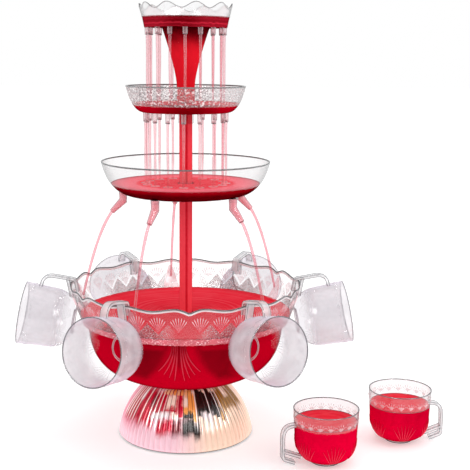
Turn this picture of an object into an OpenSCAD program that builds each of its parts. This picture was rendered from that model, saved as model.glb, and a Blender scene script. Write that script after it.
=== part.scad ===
// Three-tier drinks fountain: a fluted base with a magnetic-drive pump, a punch bowl,
// three clear tiers on two columns, and eight cups with hook handles.
// Origin: on the axis of the fountain, at table height. Z is up and the front faces -Y.

/* [Fits] */
// Gap round pieces that plug into each other
slip_gap = 0.1; // [0.05:0.05:0.2]
// Gap round shafts and pins that turn
run_gap = 0.06; // [0.02:0.01:0.1]
// Gap between pieces that must not touch
free_gap = 0.4; // [0.3:0.1:0.6]

/* [Base shell] */
// Radius of the base at its foot
base_foot_r = 82; // [80:0.5:86]
// Radius of the base at its top
base_top_r = 47; // [46:0.5:49]
// Height of the base
base_height = 65; // [63:0.5:70]
// Step in from the foot to the radius towards which the side of the base swells
base_shoulder_inset = 5.5; // [3:0.5:7]
// Height of that swelling
base_shoulder_z = 39; // [37:0.5:42]
// Wall of the base behind the flutes
base_wall = 2.6; // [2:0.1:3.2]
// Thickness of the flat top of the base
base_flange = 5; // [4.5:0.1:6]
// Height of the foot edge above the table
base_lift = 1.5; // [1:0.1:2]
// Number of flutes
flute_count = 72; // [60:2:80]
// Depth of a flute at the foot
flute_depth = 1.1; // [0.6:0.1:1.4]

/* [Base underside] */
// Thickness of the base plate
plate_t = 3; // [2.6:0.1:3.6]
// Gap round the edge of the base plate
plate_gap = 1.2; // [0.8:0.1:1.6]
// Step in from the edge of the plate to the rubber foot ring
foot_ring_inset = 10.1; // [6:0.1:11]
// Width of the foot ring
foot_ring_w = 9; // [8:0.5:10]
// Height of the foot ring
foot_ring_t = 3; // [2.5:0.1:4]
// Radius of the studs that hold the foot ring in the plate
stud_r = 3; // [2.5:0.1:3.5]
// Number of studs
stud_count = 6; // [4:1:8]
// Radius of a screw post in the base
post_r = 4.5; // [4:0.1:5]
// Gap between the screw posts and the light window
post_gap = 4.5; // [3:0.5:6.5]
// Radius of a screw thread
screw_r = 1.5; // [1.2:0.1:1.8]
// Length of a base screw
base_screw_len = 15; // [12:0.5:18]

/* [Motor] */
// Radius of the motor case
motor_r = 18; // [16:0.5:19]
// Gap between the boss of the motor and the drive magnet
rotor_gap = 6.6; // [5:0.1:10]
// Wall of the motor cradle
cradle_wall = 2.9; // [2.4:0.1:3.2]
// Height of the cradle wall
cradle_h = 15; // [12:0.5:18]
// Thickness of the cradle flange
cradle_t = 3; // [2.6:0.1:3.6]
// Radius of the cradle flange
cradle_r = 30; // [29:0.5:32]
// Radius of the motor shaft
shaft_r = 1.5; // [1.2:0.1:1.8]
// Radius of the drive magnet
drive_r = 21; // [19:0.5:22]
// Height of the drive magnet
drive_h = 8; // [6.5:0.5:8]

/* [Light] */
// Radius of the light window
window_r = 42; // [41.5:0.1:42.3]
// Thickness of the light window
window_t = 3; // [2.6:0.1:3.2]
// Width of the ledge under the window
window_ledge = 3; // [2.5:0.1:3.5]
// Outer radius of the ring that centres the bowl
centre_ring_r = 36; // [35:0.1:36.4]
// Height of that ring
centre_ring_h = 3; // [2:0.1:3.6]
// Inner radius of the lamp board
board_in_r = 25; // [24:0.5:27]
// Thickness of the lamp board
board_t = 1.6; // [1.2:0.1:2]
// Number of lamps
lamp_count = 12; // [8:1:16]
// Radius of a lamp
lamp_r = 2; // [1.5:0.1:2.5]

/* [Switch and gland] */
// Height of the switch above the table
switch_z = 23; // [21:0.5:25]
// Step in from the foot of the base to the faces of the switch and gland pads
pad_inset = 2; // [1:0.5:3]
// Width of the rocker
rocker_w = 14; // [12:0.5:15]
// Height of the rocker
rocker_h = 13; // [11:0.5:14]
// Angle the rocker leans to each side
rocker_tilt = 8; // [6:0.5:9]
// Bearing between the switch and the cord gland
gland_turn = 38; // [34:1:44]
// Height of the cord gland above the table
gland_z = 16; // [15.5:0.5:18]
// Radius of the bore of the gland
gland_bore_r = 3.7; // [3:0.1:4.2]
// Radius of the body of the gland
gland_r = 6.5; // [5.8:0.1:7]

/* [Punch bowl] */
// Outer radius of the bowl at the rim
bowl_rim_r = 138; // [134:0.5:144]
// Height of the rim at its highest, above the base
bowl_rise = 123.5; // [120:0.5:128]
// Step in from the rim to the radius towards which the upper wall swells
bowl_flare = 6; // [3:0.5:8]
// Height of that swelling above the base
bowl_swell_rise = 93; // [90:0.5:97]
// Step in from the rim to the ledge below the upper wall
ledge_inset = 13; // [11:0.5:15]
// Height of the ledge above the base
ledge_rise = 78; // [76:0.5:80]
// Rounding of the ledge
ledge_round = 3; // [2:0.1:4]
// Width of the ledge
ledge_w = 7; // [6:0.5:10]
// Wall of the bowl
bowl_wall = 3; // [2.4:0.1:3.4]
// Outer radius of the ring that the bowl stands on
bowl_ring_r = 41; // [40:0.1:41.4]
// Height of that ring
bowl_ring_h = 5; // [4.6:0.1:6]
// Number of lobes round the rim
bowl_lobes = 6; // [5:1:8]
// Turn of the lobes
bowl_turn = 1.7; // [-3:0.1:3]
// Depth of the dips within a lobe
lobe_dip = 2; // [1:0.1:3]
// Depth of the notch between two lobes
lobe_notch = 3.6; // [2.5:0.1:5]

/* [Pump] */
// Radius of the pump well in the bowl floor
well_r = 24; // [23.5:0.1:25]
// Radius of the impeller pin
pin_r = 1.5; // [1.2:0.1:1.8]
// Outer radius of the impeller magnet
follower_r = 16; // [14:0.5:18]
// Height of the impeller magnet
follower_h = 6; // [5:0.5:6.5]
// Radius of the impeller
impeller_r = 20; // [18:0.5:21]
// Number of vanes on the impeller
vane_count = 6; // [4:1:8]
// Height of a vane
vane_h = 8; // [6:0.5:9]
// Radius of the foot of the pump cover
cover_r = 34; // [32:0.5:37]
// Wall of the pump cover
cover_wall = 2; // [1.6:0.1:2.4]
// Height of the chamber in the pump cover
chamber_h = 17; // [16:0.5:19]
// Number of intake slots
intake_count = 12; // [8:1:14]
// Width of an intake slot
intake_w = 3; // [2:0.1:3.4]

/* [Columns] */
// Outer radius of the columns
column_r = 8; // [7.6:0.1:8.4]
// Wall of the columns
column_wall = 1.6; // [1.2:0.1:1.8]
// Thickness of the gaskets
gasket_t = 1.2; // [0.8:0.1:1.4]
// Depth of the socket in the pump cover
cover_socket = 13; // [11:0.5:16]
// Wall of the sockets round the columns
socket_wall = 1.6; // [1.2:0.1:2]

/* [Lower tier] */
// Height of the underside of the lower tier above the base
lower_rise = 229; // [220:1:236]
// Radius of the rim of the lower tier
lower_rim_r = 100; // [98:0.5:104]
// Depth of the lower tier
lower_depth = 40; // [38:0.5:44]
// Radius of the flat floor of the lower tier
lower_floor_r = 66; // [64:0.5:68]
// Radius towards which the wall of the lower tier swells
lower_heel_r = 91; // [89:0.5:93]
// Height of that swelling above the underside
lower_heel_z = 3; // [2:0.1:4]
// Wall of the lower tier
lower_wall = 2.6; // [2.2:0.1:3]
// Length of the collar below the lower tier
lower_collar = 5; // [4:0.5:7]

/* [Spouts] */
// Radius of the circle of spouts
spout_circle_r = 76; // [74:0.5:78]
// Bearing of the first spout
spout_turn = 27; // [20:1:34]
// Radius of a spout at its top
spout_r = 5; // [4.4:0.1:5.2]
// Radius of a spout at its tip
spout_tip_r = 3.25; // [3:0.05:3.6]
// Radius of the waterway in a spout
spout_bore_r = 2.3; // [2.2:0.1:2.6]
// Radius of the waterway at the tip
spout_tip_bore_r = 1.9; // [1.5:0.1:2.1]
// Radius of the slanted part where it leaves the elbow
spout_elbow_r = 4.7; // [4.2:0.1:4.8]
// Length of the upright part of a spout
spout_drop = 7; // [6:0.5:9]
// Length of the slanted part of a spout
spout_len = 19.5; // [16:0.5:22]
// Angle of the slanted part below level
spout_pitch = 45; // [40:1:50]
// Radius of the plug at the top of a spout
spout_plug_r = 3.6; // [3.4:0.1:4]
// Height of the boss under the tier that takes a spout
spout_boss = 2; // [1.5:0.1:4]

/* [Middle tier] */
// Height of the underside of the middle tier above the lower tier
middle_rise = 97; // [92:1:103]
// Radius of the rim of the middle tier
middle_rim_r = 70.4; // [69:0.2:73]
// Depth of the middle tier
middle_depth = 31; // [29:0.5:34]
// Radius of the flat floor of the middle tier
middle_floor_r = 51; // [50.4:0.2:53]
// Radius towards which the wall of the middle tier swells
middle_heel_r = 63.5; // [62:0.5:65]
// Height of that swelling above the underside
middle_heel_z = 1.5; // [1:0.1:2.5]
// Wall of the middle tier
middle_wall = 2.4; // [2:0.1:2.8]
// Length of the collar below the middle tier
middle_collar = 13; // [11:0.5:15]
// Radius of the circle of nozzles
middle_nozzle_circle_r = 47.4; // [46:0.1:47.8]
// Length of the nozzles
middle_nozzle_len = 11; // [8:0.5:13]

/* [Top tier] */
// Height of the underside of the top tier above the middle tier
top_rise = 97; // [94:1:101]
// Radius of the rim of the top tier
top_rim_r = 54.2; // [52:0.2:57]
// Radius of the floor of the top tier
top_floor_r = 48.4; // [48:0.2:50]
// Depth of the top tier to its highest points
top_depth = 28; // [26:0.5:31]
// Wall of the top tier
top_wall = 2.2; // [1.8:0.1:2.6]
// Number of lobes round the rim
top_lobes = 10; // [8:1:12]
// Turn of the lobes
top_turn = -5.5; // [-18:0.5:18]
// Depth of the dips between the lobes
top_dip = 6.5; // [4:0.5:8]
// Radius of the circle of nozzles
top_nozzle_circle_r = 44.7; // [44:0.1:45.2]
// Length of the nozzles
top_nozzle_len = 8; // [6:0.5:10]
// Radius of a nozzle
nozzle_r = 2.9; // [2.5:0.1:3.1]
// Radius of the waterway in a nozzle
nozzle_bore_r = 1.3; // [1:0.1:1.6]
// Number of nozzles in a ring
nozzle_count = 16; // [12:1:18]

/* [Funnel] */
// Outer radius of the funnel at the top tier
funnel_top_r = 27.9; // [26:0.1:30]
// Outer radius of the neck of the funnel
funnel_neck_r = 10.9; // [10.4:0.1:11.5]
// Height of the straight neck
funnel_neck_h = 20; // [16:0.5:24]
// Wall of the funnel
funnel_wall = 1.8; // [1.4:0.1:2.2]
// Width of the flange at the top of the funnel
funnel_flange = 3; // [2:0.1:4]

/* [Cups] */
// Radius of a cup at its rim
cup_rim_r = 37.5; // [36:0.5:39]
// Height of a cup
cup_h = 64; // [62:0.5:68]
// Radius of the upright wall below the rim
cup_side_r = 36; // [35:0.1:36.5]
// Height where the rounded lower half ends
cup_waist_z = 34; // [32:0.5:37]
// Radius of the foot of a cup
cup_foot_r = 16.5; // [15.5:0.1:17.5]
// Height of the foot of a cup
cup_foot_h = 2.5; // [2:0.1:3]
// Wall of a cup
cup_wall = 2.2; // [1.8:0.1:2.6]
// Width of the handle
handle_w = 9; // [7:0.5:11]
// Thickness of the handle
handle_t = 3.8; // [3.2:0.1:4.2]
// Height of the upper arm of the handle
handle_top_z = 46; // [44:0.5:48]
// Distance of the hook slot from the cup's axis
hook_reach = 48; // [47:0.5:50]
// Width of the hook slot
hook_slot = 4.8; // [4.4:0.1:5.4]
// Length of the tail of the hook
hook_tail = 15; // [13:0.5:16]
// Room between the foot of a hung cup and the line of the rim
hook_stand_off = 1.3; // [1.1:0.1:2]
// Tilt of a hung cup's mouth above level
hang_tilt = 10; // [8:0.5:12]
// Place of the left standing cup towards the right
left_cup_x = 159.4; // [155:0.1:165]
// Place of the left standing cup towards the front
left_cup_fore = 103.9; // [102:0.1:112]
// Bearing of its handle
left_cup_angle = 190; // [180:1:200]
// Place of the right standing cup towards the right
right_cup_x = 258.1; // [252:0.1:270]
// Place of the right standing cup towards the front
right_cup_fore = 38; // [30:0.1:48]
// Bearing of its handle
right_cup_angle = 0; // [-20:1:20]

/* [Hidden] */
$fn = 96;

// How far a cut runs past the face it opens
overrun = 1;
// Steps along a curve
curve_steps = 12;
// Overlap of neighbouring rim cuts, in degrees
lap_angle = 0.05;

// Base levels
plate_z = foot_ring_t;
plate_top = plate_z + plate_t;
flange_z = base_height - base_flange;
window_z = base_height - window_t;
base_in = base_wall + flute_depth;
base_shoulder_r = base_foot_r - base_shoulder_inset;
plate_r = base_foot_r - base_in - plate_gap;
foot_ring_r = plate_r - foot_ring_inset;
flute_shares = [0, 1];
flute_points = len(flute_shares);
base_steps = 7;
post_turn = 20;
stud_turn = 65;
stud_circle_r = foot_ring_r - foot_ring_w / 2;
post_count = 4;
post_circle_r = window_r + post_gap + post_r;
screw_head_r = 2 * screw_r;
screw_head_t = 1.3 * screw_r;

// Motor levels
cradle_top = plate_top + cradle_t;
drive_top = window_z - window_t - free_gap;
motor_boss_r = motor_r / 3;
motor_boss_h = motor_boss_r / 2;
motor_top = drive_top - drive_h - rotor_gap - motor_boss_h;
motor_h = motor_top - cradle_top;
shaft_hole_share = 0.4;
shaft_z = motor_top - shaft_hole_share * motor_h;
drive_hub_r = motor_boss_r;
cradle_screw_r = (motor_r + cradle_wall + cradle_r) / 2;
motor_screw_turn = 45;

// Light levels
board_r = window_r - slip_gap;
lamp_circle_r = (board_in_r + window_r) / 2;
lamp_h_share = 0.85;
lamp_h = lamp_h_share * (window_z - flange_z);

// Switch, in a frame whose X points outwards
switch_face = base_foot_r - pad_inset;
switch_wall = 2.6;
switch_flange = 2;
switch_depth = 17;
pocket_w = rocker_w + 2 * free_gap;
pocket_h = rocker_h + 2 * switch_wall;
frame_w = pocket_w + 2 * switch_wall;
frame_h = pocket_h + 2 * switch_wall;
pad_margin = 2 * switch_flange;
rocker_axis = switch_face - 1.5 * switch_flange;
rocker_pin_r = 1.3;
rocker_rise_share = 0.42;
rocker_dip_share = 0.22;
rocker_back_share = 0.3;
gland_flange_r = gland_r + switch_wall;
gland_pad_r = gland_flange_r + switch_flange;
gland_len = 15;

// Bowl levels
bowl_under = base_height + bowl_ring_h;
bowl_floor = bowl_under + bowl_wall;
bowl_swell_r = bowl_rim_r - bowl_flare;
ledge_r = bowl_rim_r - ledge_inset;
belly_r = ledge_r - ledge_w;
ledge_z = base_height + ledge_rise;
bowl_rim_z = base_height + bowl_rise;
swell_z = base_height + bowl_swell_rise;
well_under = base_height + free_gap;
well_floor = well_under + bowl_wall;
well_out_r = well_r + bowl_wall;
ring_in_r = centre_ring_r + free_gap;
belly_shares = [[0.78, 0.1], [0.985, 0.42]];
hump_share = 0.8;
lobe_steps = 12;
lobe_end_share = 1.1;
rim_lean = atan((bowl_rim_r - bowl_swell_r) / (bowl_rim_z - swell_z));

// Pump levels
pin_hole = bowl_wall / 2;
follower_z = well_floor + free_gap;
impeller_z = follower_z + follower_h;
disc_t = bowl_wall / 2;
hub_r = 2.5 * pin_r;
impeller_top = impeller_z + disc_t + vane_h;
vane_t = cover_wall;
pin_top = impeller_top + pin_r;
cover_foot_t = 1.2 * cover_wall;
chamber_top = bowl_floor + chamber_h;
socket_r = column_r + slip_gap;
socket_out_r = socket_r + socket_wall;
column_bore_r = column_r - column_wall;
cover_neck_z = chamber_top + well_r - column_bore_r;
intake_z = bowl_floor + cover_foot_t + cover_wall;
intake_h = chamber_top - intake_z - cover_wall;

// Column and tier levels
lower_z = base_height + lower_rise;
middle_z = lower_z + middle_rise;
top_z = middle_z + top_rise;
stop_t = socket_wall;
lower_rim_z = lower_z + lower_depth;
middle_rim_z = middle_z + middle_depth;
top_rim_z = top_z + top_depth;
lower_stop_z = lower_z + lower_wall + stop_t;
middle_stop_z = middle_z + middle_wall;
upper_socket = 5 * gasket_t;
lower_hub_top = lower_stop_z + stop_t + upper_socket;
middle_hub_top = middle_stop_z + stop_t + upper_socket;
lower_column_z = cover_neck_z + gasket_t;
lower_column_top = lower_stop_z - gasket_t;
upper_column_z = lower_stop_z + stop_t + gasket_t;
upper_column_top = middle_stop_z - gasket_t;
funnel_z = middle_stop_z + stop_t + gasket_t;

// Spouts
spout_count = 5;
spout_turn_step = 360 / spout_count;
elbow_low_share = 0.2;
elbow_back_share = 0.45;
spout_top = lower_z - spout_boss;
spout_elbow_z = spout_top - spout_drop;
spout_plug_top = lower_z + lower_wall;
spout_boss_r = spout_plug_r + socket_wall;

// Nozzles
middle_nozzle_turn = 267;
top_nozzle_turn = 269;

// Funnel levels
funnel_neck_z = middle_hub_top + free_gap;
funnel_flare_z = funnel_neck_z + funnel_neck_h;
funnel_rim_z = top_z + top_wall;
funnel_heel_shares = [0.06, 0.3];

// Cup and handle, in the cup's own frame with the handle towards X
cup_curve_shares = [[0.72, 0.08], [1, 0.42]];
slot_angle = hang_tilt + rim_lean;
slot_dir = [cos(slot_angle), sin(slot_angle)];
slot_side = [-slot_dir[1], slot_dir[0]];
slot_end = [hook_reach, ((hook_reach - cup_foot_r) * slot_dir[1] - hook_stand_off) / slot_dir[0]];
grip_x = hook_reach + bowl_wall / 2 * slot_dir[1] + free_gap + handle_t / 2;
arm_offset = slot_side * (hook_slot + handle_t) / 2;
arm_start = slid_to(slot_end + arm_offset, grip_x);
arm_end = slid_to(slot_end + arm_offset, cup_foot_r);
tail_start = slid_to(slot_end - arm_offset, grip_x);
tail_end = tail_start - slot_dir * hook_tail;
grip_round = 3.6 * handle_t;
tail_round = 0.8 * handle_t;
bend_steps = 6;

// Place of a hung cup: the end of its slot sits on the middle of the rim
hang_r = bowl_rim_r - bowl_wall / 2 - slot_end[1] * cos(hang_tilt) + slot_end[0] * sin(hang_tilt);
hang_z = bowl_rim_z - slot_end[1] * sin(hang_tilt) - slot_end[0] * cos(hang_tilt);
hung_count = 6;
hung_step = 360 / hung_count;

// A point slid along the hook slot to a distance from the cup's axis
function slid_to(point, x) = point + slot_dir * (x - point[0]) / slot_dir[0];

// Points of a curve with one or two control points
function curve2(a, b, c, steps) =
    [for (i = [0:steps]) let (t = i / steps) a * (1 - t) * (1 - t) + b * 2 * t * (1 - t) + c * t * t];
function curve3(a, b, c, d, steps) =
    [for (i = [0:steps]) let (t = i / steps, s = 1 - t)
        a * s * s * s + b * 3 * s * s * t + c * 3 * s * t * t + d * t * t * t];
function reversed(list) = [for (i = [len(list) - 1:-1:0]) list[i]];
function between(a, b, shares) = [a[0] + (b[0] - a[0]) * shares[0], a[1] + (b[1] - a[1]) * shares[1]];

// Outline of a strip of even thickness along a path
function heading(a, b) = (b - a) / norm(b - a);
function along(path, i) = heading(path[max(i - 1, 0)], path[min(i + 1, len(path) - 1)]);
function beside(path, i, half) = path[i] + [-along(path, i)[1], along(path, i)[0]] * half;
function strip(path, half) = concat(
    [for (i = [0:len(path) - 1]) beside(path, i, half)],
    [for (i = [len(path) - 1:-1:0]) beside(path, i, -half)]);
function bend(a, b, c, reach) =
    curve2(b + heading(b, a) * reach, b, b + heading(b, c) * reach, bend_steps);

// Fluted dome of the base, with a plain edge at its foot
function dome_at(t) = curve2([base_foot_r, base_lift], [base_shoulder_r, base_shoulder_z],
    [base_top_r, base_height], base_steps)[t];
function flute_r(r, j) = r - flute_depth * r / base_foot_r * flute_shares[j % flute_points];
function edge_r(r, i, j) = i == 0 ? r : flute_r(r, j);

// Drop of the bowl rim below its humps, from the middle of a lobe (0) to the notch (1)
function bowl_drop(u) = u < hump_share
    ? lobe_dip / 2 * (1 - cos(360 * u / hump_share))
    : lobe_notch * pow((u - hump_share) / (1 - hump_share), 1.5);
function top_drop(u) = top_dip / 2 * (1 - cos(180 * u));

module revolve(points) {
    rotate_extrude() polygon(points);
}

module ring(outer, inner, low, high) {
    revolve([[inner, low], [outer, low], [outer, high], [inner, high]]);
}

module peg(r, low, high) {
    translate([0, 0, low]) cylinder(r = r, h = high - low);
}

module around(count, radius, turn) {
    for (k = [0:count - 1]) rotate([0, 0, turn + k * 360 / count]) translate([radius, 0, 0]) children();
}

// A cylinder along X, from low to high
module rod(r, low, high) {
    translate([low, 0, 0]) rotate([0, 90, 0]) cylinder(r = r, h = high - low);
}

// A block centred on the X axis, from low to high
module bar(w, h, low, high) {
    translate([low, -w / 2, -h / 2]) cube([high - low, w, h]);
}

module at_switch() {
    rotate([0, 0, 90]) translate([0, 0, switch_z]) children();
}

module at_gland() {
    rotate([0, 0, 90 + gland_turn]) translate([0, 0, gland_z]) children();
}

// Air above one wavy rim: one wedge for each lobe
module rim_cut(count, turn, radius, peak_z, drops) {
    half = 180 / count;
    reach = 2 * radius;
    end = radius * sin(half) * lobe_end_share;
    outline = [for (d = drops) [radius * sin(half * d[0]), -d[1]]];
    last = drops[len(drops) - 1][1];
    air = concat([[-end, overrun], [-end, -last]], outline, [[end, -last], [end, overrun]]);
    for (k = [0:count - 1]) rotate([0, 0, turn + k * 360 / count]) intersection() {
        translate([radius / 2, 0, peak_z]) rotate([90, 0, 90]) linear_extrude(height = radius) polygon(air);
        translate([0, 0, peak_z - radius]) linear_extrude(height = reach) polygon([[0, 0],
            [reach, -reach * tan(half + lap_angle)], [reach, reach * tan(half + lap_angle)]]);
    }
}

module fluted_dome() {
    sides = flute_count * flute_points;
    points = [for (i = [0:base_steps], j = [0:sides - 1])
        let (p = dome_at(i), r = edge_r(p[0], i, j), a = 360 * j / sides)
        [r * cos(a), r * sin(a), p[1]]];
    walls = [for (i = [0:base_steps - 1], j = [0:sides - 1], half = [0, 1])
        let (a = i * sides + j, b = i * sides + (j + 1) % sides)
        half == 0 ? [a, a + sides, b] : [b, a + sides, b + sides]];
    foot = [for (j = [0:sides - 1]) j];
    crown = [for (j = [sides - 1:-1:0]) base_steps * sides + j];
    polyhedron(points, concat(walls, [foot], [crown]), convexity = 6);
}

module base_cavity(shrink) {
    revolve(concat([[0, base_lift - overrun], [base_foot_r - shrink, base_lift - overrun]],
        curve2([base_foot_r - shrink, base_lift], [base_shoulder_r - shrink, base_shoulder_z - shrink],
            [base_top_r - shrink, flange_z], curve_steps),
        [[0, flange_z]]));
}

module base_shell() {
    color("silver") difference() {
        union() {
            difference() {
                union() {
                    fluted_dome();
                    at_switch() bar(frame_w + 2 * pad_margin, frame_h + pad_margin, base_top_r, switch_face);
                    at_gland() rod(gland_pad_r, base_top_r, switch_face);
                }
                base_cavity(base_in);
            }
            intersection() {
                around(post_count, post_circle_r, post_turn) peg(post_r, plate_top, base_height);
                base_cavity(base_in - base_wall / 2);
            }
        }
        peg(window_r - window_ledge, flange_z - overrun, base_height);
        peg(window_r, window_z, base_height + overrun);
        around(post_count, post_circle_r, post_turn)
            peg(screw_r + slip_gap, plate_z, plate_z + base_screw_len + screw_r);
        at_switch() bar(frame_w + 2 * slip_gap, frame_h + 2 * slip_gap, 0, switch_face + overrun);
        at_switch() bar(frame_w + pad_margin + 2 * slip_gap, frame_h + pad_margin / 2 + 2 * slip_gap,
            switch_face, switch_face + pad_inset + overrun);
        at_gland() rod(gland_r + slip_gap, 0, switch_face + overrun);
        at_gland() rod(gland_flange_r + slip_gap, switch_face, switch_face + pad_inset + overrun);
    }
}

module base_plate() {
    color("dimgray") difference() {
        peg(plate_r, plate_z, plate_top);
        around(post_count, post_circle_r, post_turn) {
            peg(screw_r + slip_gap, plate_z - overrun, plate_top + overrun);
            peg(screw_head_r + slip_gap, plate_z - overrun, plate_z + screw_head_t);
        }
        around(stud_count, stud_circle_r, stud_turn) peg(stud_r, plate_z - overrun, plate_top + overrun);
        around(post_count, cradle_screw_r, motor_screw_turn)
            peg(screw_r, plate_z + plate_t / 3, plate_top + overrun);
    }
}

module foot_ring() {
    color("black") union() {
        ring(foot_ring_r, foot_ring_r - foot_ring_w, 0, plate_z);
        around(stud_count, stud_circle_r, stud_turn) peg(stud_r, plate_z / 2, plate_top);
    }
}

module base_screws() {
    color("gainsboro") around(post_count, post_circle_r, post_turn) {
        peg(screw_head_r, plate_z, plate_z + screw_head_t);
        peg(screw_r, plate_z, plate_z + base_screw_len);
    }
}

module motor_cradle() {
    color("gray") difference() {
        union() {
            peg(cradle_r, plate_top, cradle_top);
            peg(motor_r + slip_gap + cradle_wall, plate_top, cradle_top + cradle_h);
        }
        peg(motor_r + slip_gap, cradle_top, cradle_top + cradle_h + overrun);
        around(post_count, cradle_screw_r, motor_screw_turn)
            peg(screw_r + slip_gap, plate_top - overrun, cradle_top + overrun);
    }
}

module motor_case() {
    color("slategray") difference() {
        union() {
            peg(motor_r, cradle_top, motor_top);
            peg(motor_boss_r, cradle_top, motor_top + motor_boss_h);
        }
        peg(shaft_r + run_gap, shaft_z - slip_gap, motor_top + motor_boss_h + overrun);
    }
}

module motor_screws() {
    color("gainsboro") around(post_count, cradle_screw_r, motor_screw_turn) {
        peg(screw_head_r, cradle_top, cradle_top + screw_head_t);
        peg(screw_r, plate_z + plate_t / 3, cradle_top + screw_head_t);
    }
}

module motor_shaft() {
    color("lightgray") peg(shaft_r, shaft_z, drive_top);
}

module drive_magnet() {
    color("darkslategray") union() {
        ring(drive_r, shaft_r, drive_top - drive_h / 2, drive_top);
        ring(drive_hub_r, shaft_r, drive_top - drive_h, drive_top);
    }
}

module lamp_board() {
    color("darkgreen") ring(board_r, board_in_r, flange_z - board_t, flange_z);
}

module lamps() {
    color("lightyellow") around(lamp_count, lamp_circle_r, 0) peg(lamp_r, flange_z, flange_z + lamp_h);
}

module light_window() {
    color("aliceblue", 0.5) union() {
        peg(window_r - slip_gap, window_z, base_height);
        ring(centre_ring_r, centre_ring_r - window_t, window_z, base_height + centre_ring_h);
    }
}

module switch_frame() {
    color("black") at_switch() difference() {
        union() {
            bar(frame_w, frame_h, switch_face - switch_depth, switch_face);
            bar(frame_w + pad_margin, frame_h + pad_margin / 2, switch_face, switch_face + switch_flange);
        }
        bar(pocket_w, pocket_h, switch_face - switch_depth + switch_wall, switch_face + switch_depth);
        translate([rocker_axis, frame_w / 2 - switch_wall / 3, 0]) rotate([90, 0, 0])
            cylinder(r = rocker_pin_r + run_gap, h = frame_w - 2 * switch_wall / 3);
    }
}

module rocker_button() {
    rise = rocker_h * rocker_rise_share;
    dip = rocker_h * rocker_dip_share;
    back = rocker_h * rocker_back_share;
    pin_len = pocket_w + switch_wall;
    color("firebrick") at_switch() translate([rocker_axis, 0, 0]) rotate([0, rocker_tilt, 0]) union() {
        translate([0, rocker_w / 2, 0]) rotate([90, 0, 0]) linear_extrude(height = rocker_w)
            polygon([[-back, -rocker_h / 4], [rise, -rocker_h / 2], [dip, 0], [rise, rocker_h / 2],
                [-back, rocker_h / 4]]);
        translate([0, pin_len / 2, 0]) rotate([90, 0, 0]) cylinder(r = rocker_pin_r, h = pin_len);
    }
}

module cord_gland() {
    color("black") at_gland() difference() {
        union() {
            rod(gland_r, switch_face - gland_len, switch_face);
            rod(gland_flange_r, switch_face, switch_face + switch_wall);
        }
        rod(gland_bore_r, switch_face - gland_len - overrun, switch_face + switch_wall + overrun);
    }
}

// Outside of the bowl from the standing ring to the rim, and the same line one wall further in
function bowl_outside(wall) = concat(
    curve3([base_top_r, bowl_under + wall], between([base_top_r, bowl_under + wall],
        [belly_r - wall, ledge_z + wall], belly_shares[0]),
        between([base_top_r, bowl_under + wall], [belly_r - wall, ledge_z + wall], belly_shares[1]),
        [belly_r - wall, ledge_z + wall], curve_steps),
    curve2([ledge_r - wall - ledge_round, ledge_z + wall], [ledge_r - wall, ledge_z + wall],
        [ledge_r - wall, ledge_z + wall + ledge_round], bend_steps),
    curve2([ledge_r - wall, ledge_z + wall + ledge_round], [bowl_swell_r - wall, swell_z],
        [bowl_rim_r - wall, bowl_rim_z], curve_steps));

module punch_bowl() {
    drops = [for (i = [-lobe_steps:lobe_steps]) [i / lobe_steps, bowl_drop(abs(i / lobe_steps))]];
    color("lightcyan", 0.4) difference() {
        revolve(concat([[0, well_under], [well_out_r, well_under], [well_out_r, bowl_under],
            [ring_in_r, bowl_under], [ring_in_r, base_height], [bowl_ring_r, base_height],
            [bowl_ring_r, bowl_under]], bowl_outside(0), reversed(bowl_outside(bowl_wall)),
            [[well_r, bowl_floor], [well_r, well_floor], [0, well_floor]]));
        rim_cut(bowl_lobes, bowl_turn, bowl_rim_r, bowl_rim_z, drops);
        peg(pin_r, well_floor - pin_hole, well_floor + overrun);
    }
}

module impeller_pin() {
    color("lightgray") peg(pin_r, well_floor - pin_hole, pin_top);
}

module impeller() {
    color("white") difference() {
        union() {
            peg(hub_r, follower_z, impeller_top);
            peg(impeller_r, impeller_z, impeller_z + disc_t);
            for (k = [0:vane_count - 1]) rotate([0, 0, k * 360 / vane_count])
                translate([0, -vane_t / 2, impeller_z]) cube([impeller_r - vane_t, vane_t, disc_t + vane_h]);
        }
        peg(pin_r + run_gap, follower_z - overrun, impeller_top + overrun);
    }
}

module impeller_magnet() {
    color("darkslategray") ring(follower_r, hub_r, follower_z, impeller_z);
}

module pump_cover() {
    color("aliceblue", 0.5) difference() {
        revolve([[well_r, bowl_floor], [cover_r, bowl_floor], [cover_r, bowl_floor + cover_foot_t],
            [well_r + cover_wall, bowl_floor + cover_foot_t], [well_r + cover_wall, chamber_top],
            [socket_out_r, cover_neck_z], [socket_out_r, cover_neck_z + cover_socket],
            [socket_r, cover_neck_z + cover_socket], [socket_r, cover_neck_z], [column_bore_r, cover_neck_z],
            [column_bore_r, cover_neck_z - stop_t], [well_r, chamber_top - stop_t]]);
        for (k = [0:intake_count - 1]) rotate([0, 0, k * 360 / intake_count])
            translate([impeller_r, -intake_w / 2, intake_z]) cube([cover_r, intake_w, intake_h]);
    }
}

module gasket(low) {
    ring(column_r, column_bore_r, low, low + gasket_t);
}

module cover_gasket() {
    color("whitesmoke") gasket(cover_neck_z);
}

module lower_column() {
    color("lightcyan", 0.4) ring(column_r, column_bore_r, lower_column_z, lower_column_top);
}

module upper_column() {
    color("lightcyan", 0.4) ring(column_r, column_bore_r, upper_column_z, upper_column_top);
}

module lower_gaskets() {
    color("whitesmoke") union() {
        gasket(lower_column_top);
        gasket(upper_column_z - gasket_t);
    }
}

module middle_gaskets() {
    color("whitesmoke") union() {
        gasket(upper_column_top);
        gasket(funnel_z - gasket_t);
    }
}

// Socket through the floor of a tier: a column below, a stop, and a column or the funnel above
module hub_bore(low, stop, high) {
    peg(socket_r, low - overrun, stop);
    peg(column_bore_r, low - overrun, high + overrun);
    peg(socket_r, stop + stop_t, high + overrun);
}

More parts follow.
